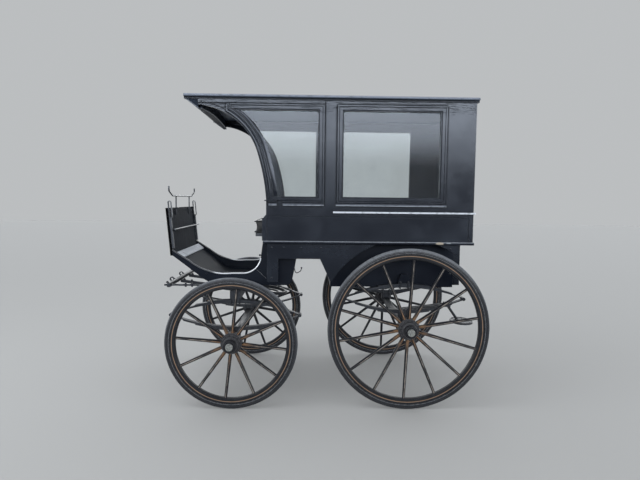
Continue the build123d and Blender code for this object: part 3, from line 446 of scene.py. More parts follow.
def bolt(radius):
    """A hexagon nut on its washer, with the end of the bolt standing out of it."""
    # sides, radius, length, height of its middle, rounding and how many cuts that has
    turned = [
        (18, radius * 1.35, WASHER_T, WASHER_T / 2, 0.0006, 1),
        (6, radius, radius * 0.8, WASHER_T + radius * 0.4, radius * 0.12, 2),
        (12, radius * 0.5, radius * 0.7, WASHER_T + radius * 0.8, radius * 0.1, 1),
    ]
    made = []
    for sides, reach, long, height, rounding, cuts in turned:
        bpy.ops.mesh.primitive_cylinder_add(vertices=sides, radius=reach, depth=long, location=(0, 0, height))
        made.append(bevelled(bpy.context.object, rounding, cuts))
    return settle_place(join(made))


def thickened(line, radius, fineness, capped=True):
    """The mesh of a round rod along a curve."""
    line.data.bevel_depth = radius
    line.data.bevel_resolution = fineness
    line.data.use_fill_caps = capped
    only(line)
    bpy.ops.object.convert(target="MESH")
    return bpy.context.object


def round_rod(route, radius, fineness, closed=False):
    """A round rod along a list of points."""
    line = bpy.data.curves.new("rod", "CURVE")
    line.dimensions = "3D"
    spline = line.splines.new("POLY")
    spline.points.add(len(route) - 1)
    for point, spot in zip(spline.points, route):
        point.co = (*spot, 1)
    spline.use_cyclic_u = closed
    return thickened(placed("rod", line), radius, fineness, not closed)


def bent_rod(points, radius, bend):
    """A round iron bent along straight runs, with an arc of the given radius at each corner."""
    points = [Vector(point) for point in points]
    route = [points[0]]
    for before, here, after in zip(points, points[1:], points[2:]):
        back = (before - here).normalized()
        ahead = (after - here).normalized()
        half = back.angle(ahead) / 2
        reach = bend / math.tan(half)
        centre = here + (back + ahead).normalized() * (bend / math.sin(half))
        for i in range(6):
            spot = (here + back * reach).lerp(here + ahead * reach, i / 5)
            route.append(centre + (spot - centre).normalized() * bend)
    return round_rod(route + [points[-1]], radius, 2)


iron = old_paint(
    "black_iron", BLACK_IRON, GREY_IRON, RUBBED_IRON,
    dust=0.07, wear=0.4, shine=0.42, splash=0.12, gloss=0.36)
dress(["front_axle", "rear_axle", "front_springs_upper", "front_springs_lower", "rear_springs_upper",
       "rear_springs_lower"], iron)

bed_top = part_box("lower_bed")[1].z
front_under = middle("front_left_nave").z - AXLE_HALF
rear_under = middle("rear_left_nave").z - AXLE_HALF
spring_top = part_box("rear_springs_upper")[1].z
# axle, half of its springs, body, way from the leaves to what they are clamped to, how far the
# legs reach, where their nuts bear and the nuts' radius
clamps = [
    ("front", "upper", "forecarriage", 1, bed_top + LEG_PAST_BED, bed_top, 0.0058),
    ("front", "lower", "forecarriage", -1, front_under - LEG_PAST_AXLE, front_under - PLATE_T, 0.0085),
    ("rear", "lower", "carriage", -1, rear_under - LEG_PAST_AXLE, rear_under - PLATE_T, 0.0085),
    ("rear", "upper", "carriage", 1, spring_top + LEG_PAST_SPRING, None, 0.0075),
]
for axle, half, body, way, tip, bearing, nut_r in clamps:
    axle_x = middle(axle + "_left_nave").x
    spring_low, spring_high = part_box(f"{axle}_springs_{half}")
    seat = spring_high.z if way > 0 else spring_low.z
    spring_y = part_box(axle + "_springs_upper")[1].y - HALF_LEAF
    leg_y = HALF_LEAF + U_BOLT_R + U_BOLT_FIT
    bow = seat - way * (SPRING_STACK + U_BOLT_R)
    irons = []
    nuts = []
    for side in (-1, 1):
        legs = [side * spring_y - leg_y, side * spring_y + leg_y]
        for x in (axle_x - U_BOLT_X, axle_x + U_BOLT_X):
            corners = [(x, legs[0], tip), (x, legs[0], bow), (x, legs[1], bow), (x, legs[1], tip)]
            irons.append(bent_rod(corners, U_BOLT_R, U_BOLT_BEND))
            if bearing:
                nuts += [set_on((x, y, bearing), (0, 0, way)) for y in legs]
            else:
                nut_place = (x, side * (spring_y + leg_y), tip - NUT_FROM_TIP)
                nuts.append(set_on(nut_place, (0, side, 0)))
        if way < 0:
            plate_size = (2 * U_BOLT_X + PLATE_PAST_X, 2 * leg_y + PLATE_PAST_Y, PLATE_T)
            plate = block((axle_x, side * spring_y, bearing + PLATE_T / 2), plate_size)
            irons.append(bevelled(plate, 0.002))
    finish(join(irons), f"{axle}_{half}_spring_u_bolts", iron, body)
    finish(repeat(bolt(nut_r), nuts), f"{axle}_{half}_spring_nuts", iron, body)

# Wheels: ash spokes and felloes, an iron nave and a solid rubber tyre held in a steel channel.
# The black paint on the spokes is rubbed through along their crests, down to brown wood beside
# the nave, and a fine ochre line runs round each felloe. Road dust has turned the rubber grey, and
# the upper part of each tyre is painted paler, as painted light from above.
RUBBER = (0.017, 0.0175, 0.02, 1)
PALE_RUBBER = (0.18, 0.186, 0.2, 1)
WHEEL_BLACK = (0.0055, 0.006, 0.008, 1)
WHEEL_GREY = (0.011, 0.0115, 0.0135, 1)
WHEEL_GLOSS = 0.16
OCHRE_LINE = (0.2, 0.13, 0.085, 1)
RUBBED_ASH = (0.165, 0.142, 0.123, 1)
BROWN_ASH = (0.18, 0.1, 0.052, 1)
NAVE_BLACK = (0.006, 0.0062, 0.0085, 1)
NAVE_DUST = (0.066, 0.064, 0.067, 1)
CAP_METAL = (0.22, 0.228, 0.215, 1)
TYRE_SEAM_IN = 0.021
LIP_IN = 0.034
LINE_IN = 0.056
LINE_HALF = 0.0026
FLANGE_R = 0.079
CAP_R = 0.0272
CAP_DEPTH = 0.016
CAP_SEAT = 0.0075
NAVE_BOLT_R = 0.0042
NAVE_BOLT_RING = 0.0645
NAVE_BOLT_OUT = 0.0218


def from_axle(tree, centre):
    """Distance from the wheel's axle line."""
    sockets = {0: where(tree, centre), 1: (1, 0, 1)}
    return length(add(tree, "VectorMath", sockets, operation="MULTIPLY"))


def from_ring(far, radius):
    """Distance from a circle about the axle."""
    return calc("ABSOLUTE", minus(far, radius))


def rubber(name, centre, radius, top_share):
    """Solid tyre: dark rubber under road dust on its crown, with painted light from above: paler on faces
    that look up, and more so towards its top.
    """
    made, tree, shader = new_material(name, 0.7, gloss=WHEEL_GLOSS)
    place = where(tree)
    far = from_axle(tree, centre)
    grain = noise(place, 60)
    speckled = step(grain, 0.2, 0.75, 0.5, 1)
    crown = step(far, radius - 0.014, radius - 0.005, 0.12, 1)
    patches = step(noise(place, 7), 0.25, 0.7, 0.45, 1)
    # painted light: the crown's dust is made heavier on faces that look up, standing in for light from above
    # on the round shoulder
    share = times(crown, patches, speckled, step(facing(tree, "Z"), -0.6, 0.9, 0, 1))
    # painted light: the tyre turns paler towards its top, as if lit from above
    shoulder, top = centre.z + 0.25 * radius, centre.z + 0.95 * radius
    high = step(part_of(place, "Z"), shoulder, top, 0, top_share)
    share = larger(share, times(high, speckled))
    seam = step(from_ring(far, radius - TYRE_SEAM_IN), 0.0008, 0.0022)
    colour = over(seam, RUBBER, over(share, RUBBER, PALE_RUBBER))
    coat(shader, colour, plus(seam, times(grain, 0.6)), 0.0007)
    return made


def felloe_paint(name, centre, radius):
    """Black paint on the felloe and its channel, with the ochre line."""
    made, tree, shader = new_material(name, 0.38, gloss=WHEEL_GLOSS)
    place = where(tree)
    far = from_axle(tree, centre)
    patches = noise(place, 9)
    grain = noise(place, 45)
    colour = over(step(patches, 0.35, 0.7), WHEEL_BLACK, WHEEL_GREY)
    lip = step(from_ring(far, radius - LIP_IN), 0.0034, 0.0014, 0.03, 0.6)
    colour = over(times(lip, step(grain, 0.3, 0.7, 0.4, 1)), colour, PALE_RUBBER)
    line = step(from_ring(far, radius - LINE_IN), LINE_HALF + 0.001, LINE_HALF - 0.001)
    on_side = step(calc("ABSOLUTE", facing(tree, "Y")), 0.6, 0.9)
    line = times(line, step(patches, 0.2, 0.45, 0.35, 1), on_side)
    colour = over(line, colour, OCHRE_LINE)
    rub = times(rubbed(tree, 0.003), step(grain, 0.45, 0.6), 0.7)
    colour = over(rub, colour, RUBBED_ASH)
    coat(shader, colour, grain, 0.0004)
    return made


def spoke_paint(name, centre, count, turn, side):
    """Black paint on spokes, worn off along the crest of each and brown beside the nave."""
    made, tree, shader = new_material(name, 0.42, gloss=WHEEL_GLOSS)
    place = where(tree)
    hub = where(tree, centre)
    far = from_axle(tree, centre)
    angle = calc("ARCTAN2", part_of(hub, "Z"), part_of(hub, "X"))
    pitch = 2 * math.pi / count
    phase = calc("DIVIDE", minus(angle, math.radians(turn)), pitch)
    nearest = minus(phase, calc("ROUND", phase))
    across = calc("ABSOLUTE", times(nearest, pitch, far))
    patches = noise(place, 13)
    grain = noise(place, 70)
    ragged = plus(across, step(patches, 0.3, 0.7, -0.002, 0.003))
    crest = times(step(ragged, 0.0038, 0.0012), step(grain, 0.25, 0.5, 0.55, 1))
    outer = step(times(facing(tree, "Y"), side), 0.2, 0.6)
    colour = over(step(patches, 0.35, 0.7), WHEEL_BLACK, WHEEL_GREY)
    wood = over(step(far, FLANGE_R + 0.16, FLANGE_R + 0.01), RUBBED_ASH, BROWN_ASH)
    near = step(far, FLANGE_R + 0.1, FLANGE_R + 0.01, 0, 0.8)
    near = times(near, step(patches, 0.45, 0.6))
    share = times(larger(crest, near), outer)
    tree.links.new(plus(times(share, 0.3), 0.38), shader.inputs["Roughness"])
    relief = minus(times(grain, 0.5), share)
    coat(shader, over(share, colour, wood), relief, 0.0005)
    return made


def nave_paint(name, centre):
    """Dusty black iron with turned steps, darkest round the cap."""
    made, tree, shader = new_material(name, 0.5, gloss=WHEEL_GLOSS)
    far = from_axle(tree, centre)
    patches = noise(where(tree), 30)
    rings = step(calc("PINGPONG", far, 0.006), 0.0006, 0.0035)
    dusty = times(step(far, 0.045, 0.051, 0.02, 0.8), step(patches, 0.25, 0.65, 0.4, 1),
                  plus(times(rings, 0.7), 0.3))
    colour = over(dusty, NAVE_BLACK, NAVE_DUST)
    colour = over(times(rubbed(tree, 0.003), 0.5), colour, RUBBED_IRON)
    coat(shader, colour, plus(times(rings, 0.3), patches), 0.0004)
    return made


def dull_cap_metal():
    """Nickelled brass that has gone grey in spots."""
    made, tree, shader = new_material("cap_metal", 0.42, 0.75)
    spots = noise(where(tree), 90)
    colour = over(step(spots, 0.4, 0.75), CAP_METAL, NAVE_DUST)
    coat(shader, colour, spots, 0.0003)
    return made


def hub_cap():
    """Turned cap with a rounded edge, a sunken face and a boss in its middle, towards +Z."""
    bpy.ops.mesh.primitive_cylinder_add(vertices=40, radius=CAP_R, depth=CAP_DEPTH)
    made = bpy.context.object
    bpy.ops.object.mode_set(mode="EDIT")
    bpy.ops.mesh.select_mode(type="FACE")
    mesh = bmesh.from_edit_mesh(made.data)
    for face in mesh.faces:
        face.select_set(face.normal.z > 0.9)
    bmesh.update_edit_mesh(made.data)
    # thickness of each inset, and how far it rises
    for inset, rise in ((0.0025, 0.0022), (0.004, 0.0), (0.0015, -0.0018), (0.006, 0.0), (0.0012, 0.0016)):
        bpy.ops.mesh.inset(thickness=inset, depth=rise)
    bpy.ops.object.mode_set(mode="OBJECT")
    return settle_place(made)


cap_metal = dull_cap_metal()
# wheel, number of spokes, angle in degrees at which they stand, painted light on the top of the tyre
wheels = [
    ("front_left", 12, 24.2, 0.3),
    ("front_right", 12, 19.5, 0.3),
    ("rear_left", 14, 9.8, 0.75),
    ("rear_right", 14, 12.3, 0.75),
]
for wheel, count, turn, top_share in wheels:
    centre = middle(wheel + "_tyre")
    low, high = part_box(wheel + "_tyre")
    radius = (high.z - low.z) / 2
    side = 1 if centre.y > 0 else -1
    body = wheel + "_wheel"
    dress([wheel + "_tyre"], rubber(wheel + "_rubber", centre, radius, top_share))
    dress([wheel + "_rim"], felloe_paint(wheel + "_felloe_paint", centre, radius))
    dress([wheel + "_spokes"], spoke_paint(wheel + "_spoke_paint", centre, count, turn, side))
    dress([wheel + "_nave"], nave_paint(wheel + "_nave_paint", centre))
    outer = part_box(wheel + "_nave")[1 if side > 0 else 0].y
    cap_place = set_on((centre.x, outer - side * CAP_SEAT, centre.z), (0, side, 0))
    finish(repeat(hub_cap(), [cap_place]), wheel + "_hub_cap", cap_metal, body)
    nave_bolts = []
    for i in range(count):
        angle = math.radians(turn) + (i + 0.5) * 2 * math.pi / count
        x, z = NAVE_BOLT_RING * math.cos(angle), NAVE_BOLT_RING * math.sin(angle)
        nave_bolts.append(set_on(centre + Vector((x, side * NAVE_BOLT_OUT, z)), (0, side, 0)))
    finish(repeat(bolt(NAVE_BOLT_R), nave_bolts), wheel + "_nave_bolts", iron, body)

# Forecarriage: a wooden bed on the front springs, two flat iron rings that turn on each other, and
# the futchells, splinter bar and shaft irons that reach forward to the horse. All of it is forged
# or cut to shape, painted black and bolted through, and the nuts are left showing.
HAIRPIN_HALF = 0.066
HAIRPIN_REACH = 0.075
HAIRPIN_R = 0.007
HAIRPIN_START = 0.02
FORE_NUT_R = 0.0095

dress(["upper_fifth_wheel", "lower_fifth_wheel", "futchell_loop", "lower_bed", "splinter_bar",
       "shaft_irons"], iron)

loop_low, loop_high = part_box("futchell_loop")
bed_low, bed_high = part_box("lower_bed")
bar_low, bar_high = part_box("splinter_bar")
slope = (loop_low.z - loop_high.z) / (loop_high.x - loop_low.x)


def futchell_top(x, y):
    """A point on the futchells' sloping upper face."""
    return Vector((x, y, loop_high.z + (x - loop_low.x) * slope))


root_x, tail_x = bed_high.x - HAIRPIN_START, loop_high.x - HAIRPIN_REACH
corners = [(root_x, -HAIRPIN_HALF), (tail_x, -HAIRPIN_HALF), (tail_x, HAIRPIN_HALF), (root_x, HAIRPIN_HALF)]
hairpin = bent_rod([futchell_top(x, y) for x, y in corners], HAIRPIN_R, HAIRPIN_HALF * 0.98)
finish(hairpin, "futchell_hairpin", iron, "forecarriage")

fore_nuts = []
for side in (-1, 1):
    for x in (bar_high.x + 0.03, bar_high.x + 0.09):
        fore_nuts.append(set_on(futchell_top(x, side * 0.15), (-slope, 0, 1)))
    for x in (bed_low.x + 0.017, bed_high.x - 0.017):
        for y in (0.19, 0.236):
            fore_nuts.append(set_on((x, side * y, bed_low.z), (0, 0, -1)))
    fore_nuts.append(set_on((bar_high.x - 0.03, side * 0.453, bar_high.z - 0.003), (0, 0, 1)))
    fore_nuts.append(set_on((bar_high.x - 0.03, side * 0.3, bar_low.z + 0.003), (0, 0, -1)))
finish(repeat(bolt(FORE_NUT_R), fore_nuts), "forecarriage_nuts", iron, "forecarriage")

# Boot: two curved side boards, a bent floor board and a riser make the well for the driver's feet.
# Half-round beading is pinned along the top edges and shines where boots have not rubbed it. The
# grey plank behind the dashboard has lost its paint.
COACH_BLACK = (0.0018, 0.0028, 0.0062, 1)
COACH_BLUE = (0.0038, 0.0055, 0.01, 1)
PRIMER_GREY = (0.17, 0.178, 0.19, 1)
FOOT_BLUE = (0.012, 0.0155, 0.024, 1)
BEADING_R = 0.0055
BEADING_BRIGHT = (0.62, 0.63, 0.66, 1)
BEADING_DULL = (0.06, 0.062, 0.068, 1)
BEADING_RUBBED_FROM = -0.9
BEADING_END = -0.505
PLANK_GREY = (0.46, 0.475, 0.51, 1)
PLANK_PALE = (0.6, 0.615, 0.65, 1)
PLANK_DIRT = (0.08, 0.08, 0.085, 1)
PLANK_RUBBED = (0.66, 0.66, 0.68, 1)
RAIL_TONES = (0.012, 0.013, 0.016, 1), (0.05, 0.052, 0.058, 1), (0.45, 0.45, 0.45, 1)
BOOT_BOLTS = ((-0.758, 0.968), (-0.62, 0.93), (-0.93, 0.972), (-0.52, 1.0), (-0.52, 1.12), (-0.4, 1.16))
STAY_R = 0.0028
STAY_BEND = 0.03


def copy_of(name):
    """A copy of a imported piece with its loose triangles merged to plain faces."""
    made = placed("copy", cad[name].data.copy())
    only(made)
    bpy.ops.object.mode_set(mode="EDIT")
    bpy.ops.mesh.select_all(action="SELECT")
    bpy.ops.mesh.remove_doubles(threshold=0.00001)
    bpy.ops.mesh.dissolve_limited(angle_limit=math.radians(0.5))
    bpy.ops.object.mode_set(mode="OBJECT")
    return made


def edge_beading(name, wanted, radius, inward=0.0):
    """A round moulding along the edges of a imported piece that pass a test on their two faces."""
    made = copy_of(name)
    mesh = bmesh.new()
    mesh.from_mesh(made.data)
    kept = set()
    shifts = {}
    for edge in mesh.edges:
        if len(edge.link_faces) != 2:
            continue
        for flat, rim in (edge.link_faces, reversed(edge.link_faces)):
            if wanted(edge, flat, rim):
                kept.add(edge)
                for corner in edge.verts:
                    shifts.setdefault(corner, []).append(rim.normal.copy())
    for corner, normals in shifts.items():
        corner.co -= sum(normals, Vector()).normalized() * inward
    bmesh.ops.delete(mesh, geom=[edge for edge in mesh.edges if edge not in kept], context="EDGES")
    bmesh.ops.delete(mesh, geom=[corner for corner in mesh.verts if not corner.link_edges], context="VERTS")
    mesh.to_mesh(made.data)
    mesh.free()
    made.data.materials.clear()
    only(made)
    bpy.ops.object.convert(target="CURVE")
    return thickened(bpy.context.object, radius, 3)


def on_boot_rim(edge, flat, rim):
    """Upper edges of the side boards' outer faces, ahead of the riser."""
    outside = abs(flat.normal.y) > 0.9 and abs(flat.calc_center_median().y) > 0.43
    return outside and rim.normal.z > 0.15 and all(corner.co.x < BEADING_END for corner in edge.verts)


def worn_beading():
    """Bright metal, dull and dark at its front where it is rubbed."""
    made, tree, shader = new_material("beading_metal", 0.3)
    place = where(tree)
    bright = step(part_of(place, "X"), BEADING_RUBBED_FROM, BEADING_RUBBED_FROM + 0.05)
    patches = noise(place, 22)
    share = times(bright, step(patches, 0.2, 0.36, 0.3, 1))
    tree.links.new(times(share, 0.55), shader.inputs["Metallic"])
    coat(shader, over(share, BEADING_DULL, BEADING_BRIGHT), patches, 0.0004)
    return made


def bare_plank():
    """Grey weathered wood with dirt in it and paler edges."""
    made, tree, shader = new_material("plank_wood", 0.62)
    grain = noise(where(tree, unit=(0.02, 0.4, 0.02)), 1.3)
    colour = over(step(grain, 0.35, 0.7), PLANK_GREY, PLANK_PALE)
    darkening = step(noise(where(tree), 14), 0.56, 0.72, 0, 0.6)
    colour = over(darkening, colour, PLANK_DIRT)
    colour = over(times(rubbed(tree, 0.004), 0.8), colour, PLANK_RUBBED)
    coat(shader, colour, grain, 0.0008)
    return made


def bolt_head(radius=0.008):
    """The shallow round head of a coach bolt."""
    bpy.ops.mesh.primitive_uv_sphere_add(segments=16, ring_count=8, radius=radius)
    made = bpy.context.object
    made.scale.z = 0.42
    bpy.ops.object.mode_set(mode="EDIT")
    bpy.ops.mesh.select_all(action="SELECT")
    bpy.ops.mesh.bisect(plane_co=(0, 0, 0), plane_no=(0, 0, 1), clear_inner=True, use_fill=True)
    bpy.ops.object.mode_set(mode="OBJECT")
    return settle_place(made)


def on_both_sides(spots, y):
    """Places for bolt heads on the outer faces at both sides, from a table of X and Z."""
    return [set_on((x, side * y, z), (0, side, 0)) for side in (-1, 1) for x, z in spots]


boot_paint = old_paint(
    "boot_paint", COACH_BLACK, COACH_BLUE, PRIMER_GREY, dust=0.03, wear=0.25, shine=0.36, gloss=0.14)
foot_boards = old_paint(
    "foot_boards", COACH_BLUE, FOOT_BLUE, PRIMER_GREY, wear=0.6, shine=0.65, gloss=0.07)
rail_iron = old_paint("rail_iron", *RAIL_TONES, dust=0.25, wear=0.8, shine=0.33, edge=0.003)
dress(["boot_sides", "boot_riser"], boot_paint)
dress(["boot_floor"], foot_boards)
dress(["toe_board"], bare_plank())

beading = edge_beading("boot_sides", on_boot_rim, BEADING_R)
finish(beading, "boot_beading", worn_beading())
boot_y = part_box("boot_sides")[1].y
boot_bolts = repeat(bolt_head(), on_both_sides(BOOT_BOLTS, boot_y))
finish(boot_bolts, "boot_bolts", boot_paint)

# a thin iron stay runs down the outside of each boot side, below the beading
stays = []
for side in (-1, 1):
    knee = (-0.5, side * (boot_y + 0.001), 0.966)
    ends = [(-0.5465, side * boot_y, 1.008), (-0.4715, side * boot_y, 0.94)]
    stays.append(bent_rod([ends[0], knee, ends[1]], STAY_R, STAY_BEND))
finish(join(stays), "boot_stays", rail_iron)

# Dashboard: upright tongued boards in a frame, with two lamp irons, a rail for the reins and a
# foot rail of round iron. The paint on the irons has worn to bright metal where hands reach them.
BOARD_PITCH = 0.074
DASH_T = 0.018
DASH_DARK = (0.006, 0.0075, 0.0115, 1)
DASH_PALE = (0.024, 0.027, 0.033, 1)
DASH_BOLT_R = 0.007

dash_paint = old_paint(
    "dash_paint", DASH_DARK, DASH_PALE, PRIMER_GREY,
    dust=0.03, shine=0.7, gloss=0.06, grain=(BOARD_PITCH, (0.3, 0.012, 0.5)))
dress(["dashboard"], dash_paint)
dress(["dash_irons"], rail_iron)

dash_low, dash_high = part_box("dashboard")
lean = (dash_low.x - (dash_high.x - DASH_T)) / (dash_high.z - dash_low.z)
# share of the dashboard's height, and how far from its middle
rows = [(share, dash_high.y - 0.016) for share in (0.12, 0.5, 0.82)] + [(0.55, 0.23), (0.9, 0.23)]
dash_bolts = []
for side in (-1, 1):
    for share, y in rows:
        rise = share * (dash_high.z - dash_low.z)
        spot = (dash_high.x - DASH_T + rise * lean, side * y, dash_low.z + rise)
        dash_bolts.append(set_on(spot, (-1, 0, lean)))
finish(repeat(bolt_head(DASH_BOLT_R), dash_bolts), "dashboard_bolts", rail_iron)

# Lower body: the waist frame carries the walls, with the seat platform and the cabin box hung
# under it, and panels cut away round the rear wheels. Coach bolts hold the panels to the frame.
# A chip beside the rear wheel shows the bare wood.
BARE_WOOD = (0.27, 0.23, 0.18, 1)
WAIST_GREY = (0.17, 0.18, 0.2, 1)
FLOOR_TONES = (0.028, 0.027, 0.027, 1), (0.05, 0.048, 0.046, 1), (0.16, 0.13, 0.1, 1)
PANEL_BOLTS = ((-0.42, 1.19), (-0.42, 0.96), (-0.33, 1.19), (-0.2, 1.19), (-0.05, 1.19), (0.93, 1.19),
               (0.93, 1.0))
HOOK_Y = -0.3
HOOK_R = 0.0032
HOOK_BEND = 0.014
HOOK_ROUTE = ((-0.262, 1.02), (-0.245, 0.956), (-0.206, 0.978), (-0.199, 1.002))
KNOB_R = 0.007

# centre, size and colour of each chip
chips = [
    ((0.839, -0.604, 1.234), (0.032, 0.03, 0.011), BARE_WOOD),
    ((0.905, -0.604, 1.238), (0.02, 0.03, 0.006), PRIMER_GREY),
]
# a pale strip along the top of the waist frame: partly painted highlight where its top catches the light,
# partly dust and wear
waist_top_highlight = [(1.239, 1.2455, 0.598, WAIST_GREY)]
coach_paint = old_paint(
    "coach_paint", COACH_BLACK, COACH_BLUE, PRIMER_GREY, dust=0.7, shine=0.25,
    splash=0.05, gloss=0.3, bands=waist_top_highlight, spots=chips)
floor_wood = old_paint(
    "floor_wood", *FLOOR_TONES, dust=0.5, wear=0.6, shine=0.6, edge=0.003, grain=(0.12, (0.5, 0.01, 0.5)))
dress(["waist_frame", "lower_panels", "door_case"], coach_paint)
dress(["seat_platform", "cabin_box", "rear_spring_brackets"], boot_paint)
dress(["cabin_floor"], floor_wood)

panel_bolts = repeat(bolt_head(), on_both_sides(PANEL_BOLTS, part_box("lower_panels")[1].y))
finish(panel_bolts, "panel_bolts", coach_paint)

# a hook with a knob behind the boot, on the near side
hook = bent_rod([(x, HOOK_Y, z) for x, z in HOOK_ROUTE], HOOK_R, HOOK_BEND)
knob_place = (-0.199, HOOK_Y, 1.004)
bpy.ops.mesh.primitive_uv_sphere_add(segments=16, ring_count=10, radius=KNOB_R, location=knob_place)
knob = bevelled(bpy.context.object, 0.0005)
finish(join([hook, knob]), "boot_hook", iron)

# Side walls: thin panels on a frame of pillars and rails, under many coats of paint. A bead runs
# up each front pillar, and the mouldings round the windows are chipped and cracked under the eaves.
PILLAR_BEAD_R = 0.0055
PILLAR_BEAD_IN = 0.022
DRIP_HIGHLIGHT = (0.5, 0.52, 0.56, 1)
SILL_BRIGHT = (0.26, 0.28, 0.31, 1)
SILL_GREY = (0.06, 0.066, 0.08, 1)

# the window sills have worn bright where they catch the rain, and the drip rail under the windows has a
# painted highlight where its top catches the light
worn_and_highlit_edges = [
    (1.454, 1.468, 0.6, DRIP_HIGHLIGHT),
    (1.507, 1.5235, 0.606, SILL_GREY),
    (1.507, 1.513, 0.606, SILL_BRIGHT),
]
wall_paint = old_paint(
    "wall_paint", COACH_BLACK, COACH_BLUE, PRIMER_GREY, dust=0.7, wear=0.55,
    shine=0.19, edge=0.0035, gloss=0.44, cracks=(2.17, 2.24), bands=worn_and_highlit_edges)
dress(["left_side_wall", "right_side_wall", "rear_wall"], wall_paint)


def on_pillar(edge, flat, rim):
    """Front edges of the canopy pillars' outer faces."""
    outside = abs(flat.normal.y) > 0.9 and abs(flat.calc_center_median().y) > 0.59
    up_front = all(corner.co.x < -0.45 and corner.co.z > 1.545 for corner in edge.verts)
    return outside and up_front and rim.normal.x < -0.2


for side in ("left", "right"):
    bead = edge_beading(side + "_side_wall", on_pillar, PILLAR_BEAD_R, PILLAR_BEAD_IN)
    finish(bead, side + "_pillar_bead", wall_paint)

# Windows: panes of clear sheet glass puttied into the frames, a little dusty at their edges. A
# strip of wood planted on each face of the front panes holds them along the curved pillar.
GLASS_TINT = (0.84, 0.88, 0.89, 1)
GLASS_IOR = 1.42
GLASS_T = 0.005
STRIP_W = 0.028
STRIP_PROUD = 0.0025
STRIP_GAP = 0.0005


def clear_glass():
    """Glass that lets the lamp's light through, with a thin uneven dust on it."""
    others = [("Base Color", GLASS_TINT), ("IOR", GLASS_IOR), ("Specular Tint", VARNISH_TINT),
              ("Transmission Weight", 1)]
    made, tree, shader = new_material("window_glass", 0.02, others=others)
    clear = add(tree, "BsdfTransparent", {"Color": GLASS_TINT})
    dust = add(tree, "BsdfDiffuse", {"Color": ROAD_DUST})
    spots = step(noise(where(tree), 5), 0.4, 0.8, 0.01, 0.04)
    shadow_ray = add(tree, "LightPath", {}, "Is Shadow Ray")
    dusty = add(tree, "MixShader", {0: spots, 1: shader.outputs[0], 2: dust})
    mixed = add(tree, "MixShader", {0: shadow_ray, 1: dusty, 2: clear})
    tree.links.new(mixed, tree.nodes["Material Output"].inputs["Surface"])
    return made


def pillar_strip(side, inner, outer):
    """The stretch of a front pane beside its pillar, thickened between two distances out."""
    made = copy_of("side_window_glass")
    mesh = bmesh.new()
    mesh.from_mesh(made.data)
    others = [corner for corner in mesh.verts if corner.co.x > 0 or corner.co.y * side < 0]
    bmesh.ops.delete(mesh, geom=others, context="VERTS")
    mesh.to_mesh(made.data)
    mesh.free()
    corners = [corner.co for corner in made.data.vertices]
    centre = sum(corners, Vector()) / len(corners)
    cutter = placed("cutter", made.data.copy())
    only(cutter)
    bpy.ops.transform.resize(value=(1, 2, 1.01), center_override=centre)
    bpy.ops.transform.translate(value=(STRIP_W, 0, 0))
    modified(made, "BOOLEAN", operation="DIFFERENCE", object=cutter)
    bpy.data.objects.remove(cutter)
    for corner in made.data.vertices:
        corner.co.y = side * (outer if corner.co.y * side > centre.y * side else inner)
    return bevelled(made, 0.0012)


dress(["side_window_glass", "rear_door_glass"], clear_glass())
glass_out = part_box("side_window_glass")[1].y
glass_in = glass_out - GLASS_T
wall_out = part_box("rear_wall")[1].y
for side, name in ((-1, "right"), (1, "left")):
    strips = [
        pillar_strip(side, glass_out + STRIP_GAP, wall_out + STRIP_PROUD),
        pillar_strip(side, glass_in - (wall_out - glass_out), glass_in - STRIP_GAP),
    ]
    finish(join(strips), name + "_glazing_strip", wall_paint)

# Roof: boards bent to a low crown under painted canvas, with a moulded edge all round. The header
# closes the canopy in front, above the driver. A thin board on it and another on the rear wall
# follow the crown, so that no light shows under the roof.
CANVAS_DARK = (0.012, 0.013, 0.016, 1)
CANVAS_PALE = (0.03, 0.031, 0.035, 1)
NOSING_GREY = (0.17, 0.185, 0.225, 1)
HEADER_BEAD_R = 0.004
HEADER_BLUE = (0.008, 0.011, 0.018, 1)
HEADER_PALE = (0.014, 0.019, 0.029, 1)
SOFFIT_GROUND_LIGHT = (0.075, 0.095, 0.13, 1)
CROWN_CUTS = 24
CROWN_T = 0.016
CROWN_LAP = 0.002
CROWN_IN = 0.002
CROWN_OFF_DOOR = 0.008

nosing = [(2.289, 2.3105, 0.6, NOSING_GREY)]
# the roof's underside is painted a lighter blue-grey, as painted light from the ground below
roof_paint = old_paint(
    "roof_paint", CANVAS_DARK, CANVAS_PALE, PRIMER_GREY, dust=0.45, wear=0.55,
    edge=0.006, cracks=(2.2, 2.26), bands=nosing, under=SOFFIT_GROUND_LIGHT)
header_paint = old_paint(
    "header_paint", HEADER_BLUE, HEADER_PALE, PRIMER_GREY, wear=0.2, shine=0.5, gloss=0.1)
header_grey = old_paint("header_grey", SILL_GREY, SILL_BRIGHT, SILL_BRIGHT)
dress(["roof"], roof_paint)
dress(["canopy_header"], header_paint)


def on_header_edge(edge, flat, rim):
    """Lower edges of the header's outer and rear faces."""
    return (abs(flat.normal.y) > 0.9 or flat.normal.x > 0.9) and rim.normal.z < -0.2


header_bead = edge_beading("canopy_header", on_header_edge, HEADER_BEAD_R)
finish(header_bead, "header_bead", header_grey)

header_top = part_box("canopy_header")[1]
wall_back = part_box("rear_wall")[0]
header_x = header_top.x - CROWN_T / 2 - CROWN_IN
rear_x = wall_back.x + CROWN_T / 2 + CROWN_OFF_DOOR
